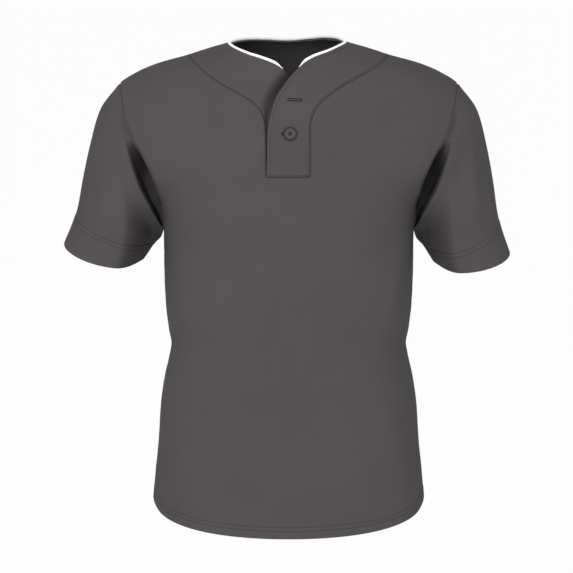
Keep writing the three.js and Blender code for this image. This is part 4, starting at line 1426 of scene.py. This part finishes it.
def strip_cloth(name, dark, light, inside):
    """Plain woven strip, cut on the slant, with a fine crossed weave. Its face inside the neck is painted
    grey, as shade."""
    finish = Finish(name, Specular_IOR_Level=0.1)
    place = finish.node("ShaderNodeTexCoord", output=3)
    first = finish.node("ShaderNodeTexWave", {"bands_direction": "DIAGONAL"}, {"Vector": place, "Scale": 900})
    fleck = finish.node("ShaderNodeTexNoise", inputs={"Vector": place, "Scale": 700, "Detail": 2})
    weave = Wire(finish, first.socket.node.outputs[1])
    uv = finish.node("ShaderNodeUVMap", {"uv_map": "cloth"})
    painted_shade_map = finish.node("ShaderNodeSeparateXYZ", inputs={0: uv})
    painted_shade_share = finish.node("ShaderNodeClamp", inputs={"Value": (painted_shade_map - PAINTED_SHADE_FROM) * PAINTED_SHADE_SHARPNESS})
    face = finish.blend(0.35 + fleck * 0.5 + weave * 0.15, dark, light)
    # Base colour: the strip's own flecked weave, blended to a painted shade grey on the face inside the neck
    finish.feed(finish.surface.inputs["Base Color"], finish.blend(painted_shade_share, face, inside))
    finish.feed(finish.surface.inputs["Roughness"], 0.75 + fleck * 0.15)
    bump = finish.node(
        "ShaderNodeBump", inputs={"Strength": 0.3, "Distance": 0.00015, "Height": weave + fleck * 0.5},
    )
    finish.feed(finish.surface.inputs["Normal"], bump)
    return finish.material


# The painted shade on the piping turns round the cord from the front of the neck to the back
over = ease(0, PAINTED_SHADE_ROLLS_OVER, centres[:, 1])
roll = PAINTED_SHADE_ROLL_FRONT + (PAINTED_SHADE_ROLL_BACK - PAINTED_SHADE_ROLL_FRONT) * over
piping = cord("piping", centres, neck_normals, radius, PIPING_SIDES, roll)
piping.data.materials.append(strip_cloth("white piping", PIPING_SHADE, PIPING_WHITE, PIPING_PAINTED_SHADE))
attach(piping, "root")
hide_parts("neck_piping")


# Buttonholes
# Two level buttonholes worked through the placket in close satin stitches of dark thread. The upper one
# is free, and the lower one is mostly hidden under its button.

HOLE_LENGTH = 22
HOLE_WIDTH = 4.6
SATIN_WIDTH = 1.6
SATIN_HEIGHT = 0.5
SATIN_PITCH = 0.55
SATIN_STEP = 0.14
SATIN_RIPPLE = 0.12
SATIN_SINK = 0.12
SATIN_SPOTS = 9
BUTTONHOLES = (("upper", 9, 76, 0.05), ("lower", -0.6, 125, 0.0))


def buttonhole(name, across, drop, tilt):
    """A ring of satin stitches: a half round with a fine ripple along a line of two straight sides and
    two half circles, laid on the placket."""
    reach = (HOLE_WIDTH - SATIN_WIDTH) / 2
    side = HOLE_LENGTH - HOLE_WIDTH
    bend = np.pi * reach
    total = 2 * side + 2 * bend
    count = int(total / SATIN_STEP)
    run = np.arange(count) * total / count
    first = (run - side) / reach
    second = (run - 2 * side - bend) / reach
    parts = [run < side, run < side + bend, run < 2 * side + bend]
    right = side / 2 + reach * np.sin(first)
    left = -side / 2 - reach * np.sin(second)
    x = np.select(parts, [run - side / 2, right, 1.5 * side + bend - run], left)
    y = np.select(parts, [0 * run - reach, -reach * np.cos(first), 0 * run + reach], reach * np.cos(second))
    path = np.stack([x, y], -1)
    out = unit(np.stack([np.roll(y, -1) - np.roll(y, 1), np.roll(x, 1) - np.roll(x, -1)], -1))
    turn = np.linspace(0, np.pi, SATIN_SPOTS)
    ripple = 1 + SATIN_RIPPLE * np.sin(2 * np.pi * run / SATIN_PITCH)
    off = SATIN_WIDTH / 2 * np.cos(turn) * ripple[:, None]
    flat = path[:, None] + out[:, None] * off[..., None]
    height = np.sin(turn) * SATIN_HEIGHT * ripple[:, None] - SATIN_SINK
    turned_x = flat[..., 0] * np.cos(tilt) - flat[..., 1] * np.sin(tilt) + across
    turned_y = flat[..., 0] * np.sin(tilt) + flat[..., 1] * np.cos(tilt) + drop
    spots = np.stack([turn_at(turned_x.ravel(), turned_y.ravel()), turned_y.ravel()], -1)
    points, normals, thickness = place_placket(spots)
    points = points + normals * (thickness / 2 + height.ravel())[:, None]
    index = np.arange(len(points)).reshape(count, SATIN_SPOTS)
    ahead = np.roll(index, -1, axis=0)
    after = np.roll(index, -1, axis=1)
    faces = np.stack([index, ahead, np.roll(ahead, -1, axis=1), after], -1).reshape(-1, 4)
    piece = mesh_piece(name, points, faces)
    piece.data.materials.append(dark_thread)
    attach(piece, "root")


for word, across, drop, tilt in BUTTONHOLES:
    buttonhole(f"{word}_buttonhole", across, drop, tilt)


# Buttons
# Two dark grey four-hole buttons of moulded polyester, sewn to the underlap with crossed thread. The
# lower one is through its buttonhole, and the upper one lies open under the placket.

BUTTON_RADIUS = 10.2
BUTTON_THICKNESS = 2.6
BUTTON_HOLE_RADIUS = 0.95
BUTTON_HOLE_SPREAD = 1.7
BUTTON_CLEARANCE = 0.6
BUTTON_COLUMNS = 96
BUTTON_FACE_ROWS = ((0.15, 4.6, 30), (4.8, 8.0, 12), (8.2, 9.6, 12))
BUTTON_UNDER_ROWS = np.array([9.0, 6, 3, 0.15])
BUTTON_EDGE = 9.6
DISH_EDGE = (6.4, 8.0)
DISH_DEPTH = 0.75
RIM_GROOVE_AT = 8.6
RIM_GROOVE_WIDTH = 0.45
RIM_GROOVE_DEPTH = 0.6
PIT_DEPTH = 1.5
PIT_EDGE = (-0.25, 0.15)
BUTTON_DARK = (0.030, 0.027, 0.028, 1)
BUTTON_LIGHT = (0.046, 0.042, 0.043, 1)
# Painted shadow: a near-black ring round the button's edge, standing for its shadow on the cloth
BUTTON_PAINTED_SHADOW = (0.006, 0.005, 0.005, 1)
SEWING_SHIFT = 0.22
SEWING_SINK = 0.35
SEWING_PITCH = 9.0
SEWING_LENGTH = 5.2
SEWING_RADIUS = 0.34
# Where the painted shadow ring starts from the middle, and the width over which it comes in
PAINTED_SHADOW_FROM = 8.5
PAINTED_SHADOW_FADE = 0.7
BUTTONS = (
    ("lower_button", "button_lower", 2, 125, placket_lift),
    ("upper_button", "button_upper", 9, 76, underlap_lift),
)


def button_blank():
    """A turned disc: a rounded rim, a groove inside it and a shallow dish, with four round pits for the
    thread. Height is a function of the distance from the middle and from the nearest hole."""
    radii = np.concatenate([np.linspace(*rows) for rows in BUTTON_FACE_ROWS])
    turn = 2 * np.pi * np.arange(BUTTON_COLUMNS) / BUTTON_COLUMNS
    x, y = radii[:, None] * np.cos(turn), radii[:, None] * np.sin(turn)
    dish = BUTTON_THICKNESS - DISH_DEPTH * (1 - ease(*DISH_EDGE, radii))
    rim_groove = -RIM_GROOVE_DEPTH * np.exp(-(((radii - RIM_GROOVE_AT) / RIM_GROOVE_WIDTH) ** 2))
    away = np.hypot(np.abs(x) - BUTTON_HOLE_SPREAD, np.abs(y) - BUTTON_HOLE_SPREAD)
    pits = -PIT_DEPTH * (1 - ease(*PIT_EDGE, away - BUTTON_HOLE_RADIUS))
    top = (dish + rim_groove)[:, None] + pits
    edge_turn = np.linspace(np.pi / 2, -np.pi / 2, 9)[1:, None]
    edge_radius = BUTTON_EDGE + (BUTTON_RADIUS - BUTTON_EDGE) * np.cos(edge_turn)
    edge = BUTTON_THICKNESS / 2 * (1 + np.sin(edge_turn)) + 0 * turn
    under = np.zeros((len(BUTTON_UNDER_ROWS), BUTTON_COLUMNS))
    radius = np.concatenate([radii, edge_radius[:, 0], BUTTON_UNDER_ROWS])
    height = np.concatenate([top, edge, under])
    rings = np.stack([radius[:, None] * np.cos(turn), radius[:, None] * np.sin(turn), height], -1)
    index = np.arange(height.size).reshape(height.shape)
    after = np.roll(index, -1, axis=1)
    faces = np.stack([index[:-1], index[1:], after[1:], after[:-1]], -1).reshape(-1, 4)
    half = np.arange(1, BUTTON_COLUMNS // 2)
    cap = np.stack([half - 1, half, BUTTON_COLUMNS - half - 1, BUTTON_COLUMNS - half], -1)
    ends = np.concatenate([cap, cap[:, ::-1] + index[-1, 0]])
    return rings.reshape(-1, 3), np.concatenate([faces, ends])


def button_frame(across, drop, lift):
    """Where a button lies: its centre and its three directions. It is square to the cloth and clears
    the highest spot under its rim."""
    place = place_on_body(lift)

    def on(x, y):
        x, y = np.atleast_1d(x), np.atleast_1d(y)
        return place(np.stack([turn_at(x, y), y], -1))[0]

    reach = BUTTON_RADIUS * np.sqrt(0.5)
    centre = on(across, float(drop))[0]
    sideways = unit(on(across + reach, float(drop))[0] - on(across - reach, float(drop))[0])
    upwards = on(across, drop - reach)[0] - on(across, drop + reach)[0]
    normal = unit(np.cross(sideways, upwards))
    turn = np.arange(16) * np.pi / 8
    rim = on(across + BUTTON_RADIUS * np.cos(turn), drop + BUTTON_RADIUS * np.sin(turn))
    rise = max(0, ((rim - centre) @ normal).max()) + CLOTH / 2 + BUTTON_CLEARANCE
    return centre + normal * rise, np.stack([sideways, np.cross(normal, sideways), normal])


button_finish = Finish("button polyester", Specular_IOR_Level=0.2)
place = button_finish.node("ShaderNodeTexCoord", output=3)
swirl = button_finish.node(
    "ShaderNodeTexNoise", inputs={"Vector": place, "Scale": 260, "Detail": 4, "Distortion": 1.5},
)
face = button_finish.blend(swirl, BUTTON_DARK, BUTTON_LIGHT)
# Base colour: the button's own swirled tone, blended to a painted shadow ring past the radius that the map
# carries
spread_out = button_finish.node("ShaderNodeUVMap", {"uv_map": "cloth"})
share_out = button_finish.node("ShaderNodeSeparateXYZ", inputs={0: spread_out})
in_painted_shadow = (share_out * 1000 - PAINTED_SHADOW_FROM) / PAINTED_SHADOW_FADE
painted_shadow_share = button_finish.node("ShaderNodeClamp", inputs={"Value": in_painted_shadow})
colour = button_finish.blend(painted_shadow_share, face, BUTTON_PAINTED_SHADOW)
button_finish.feed(button_finish.surface.inputs["Base Color"], colour)
button_finish.feed(button_finish.surface.inputs["Roughness"], 0.38 + swirl * 0.16)

for name, node, across, drop, lift in BUTTONS:
    centre, axes = button_frame(across, drop, lift)
    points, faces = button_blank()
    away = np.hypot(points[:, 0], points[:, 1])[faces]
    button = mesh_piece(name, centre + points @ axes, faces, np.stack([away, away], -1).reshape(-1, 2))
    button.data.materials.append(button_finish.material)
    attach(button, "root")
    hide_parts(node)
    sewing = []
    for side in (-1, 1):
        for shift in (-SEWING_SHIFT, SEWING_SHIFT):
            line = np.linspace(-BUTTON_HOLE_SPREAD, BUTTON_HOLE_SPREAD, 5)
            bar = np.stack([line, side * line + shift, 0 * line + BUTTON_THICKNESS - SEWING_SINK], -1)
            upwards = np.tile(axes[2], (len(line), 1))
            sewing.append((centre + bar @ axes, upwards, SEWING_PITCH, SEWING_LENGTH, SEWING_RADIUS))
    stitching(f"{name}_thread", sewing)


# Floor, light and camera
# A pale floor well below the hem, broad soft light from the front and a little from the left, and a
# long lens that looks down slightly on the jersey.

FLOOR_DROP = 2.6
FLOOR_REACH = 60

floor = mesh_piece(
    "floor",
    np.array([[-1, -1, 0], [1, -1, 0], [1, 1, 0], [-1, 1, 0]]) * FLOOR_REACH / MM
    - (0, 0, FLOOR_DROP / MM),
    np.array([[0, 1, 2, 3]]),
)
floor_finish = Finish("pale floor", Roughness=0.9, Specular_IOR_Level=0.1)
floor_finish.surface.inputs["Base Color"].default_value = (0.95, 0.95, 0.95, 1)
floor.data.materials.append(floor_finish.material)


def soft_light(name, place, target, size, power):
    """A square soft light that faces a point."""
    light = bpy.data.lights.new(name, "AREA")
    light.size = size
    light.energy = power
    lamp = bpy.data.objects.new(name, light)
    bpy.context.scene.collection.objects.link(lamp)
    back = unit(np.subtract(place, target))
    right = unit(np.cross((0, 0, 1), back))
    matrix = np.eye(4)
    matrix[:3, :3] = np.stack([right, np.cross(back, right), back], -1)
    matrix[:3, 3] = place
    lamp.matrix_world = Matrix(matrix.tolist())
    return lamp


soft_light("key light", (-1.1, -3.2, 0.9), (0, 0, -0.35), 1.8, 80)
soft_light("fill light", (2.2, -2.8, 0.2), (0, 0, -0.35), 2.2, 15)

world = bpy.data.worlds.new("studio")
bpy.context.scene.world = world
world.use_nodes = True
world.node_tree.nodes["Background"].inputs["Color"].default_value = (1, 1, 1, 1)
world.node_tree.nodes["Background"].inputs["Strength"].default_value = 1.03

CAMERA_AIM = np.array([-0.0033, 0, -0.36675])
CAMERA_DISTANCE = 8
CAMERA_FALL = np.radians(8)
FIELD_WIDTH = 0.8595
SENSOR_WIDTH = 36
camera = bpy.data.objects.new("camera", bpy.data.cameras.new("camera"))
bpy.context.scene.collection.objects.link(camera)
look = np.array([0, np.cos(CAMERA_FALL), -np.sin(CAMERA_FALL)])
camera.data.sensor_width = SENSOR_WIDTH
camera.data.lens = CAMERA_DISTANCE / FIELD_WIDTH * SENSOR_WIDTH
camera.data.clip_end = 200
camera.location = CAMERA_AIM - look * CAMERA_DISTANCE
camera.rotation_euler = (np.pi / 2 - CAMERA_FALL, 0, 0)
bpy.context.scene.camera = camera
bpy.context.scene.view_settings.view_transform = "Standard"
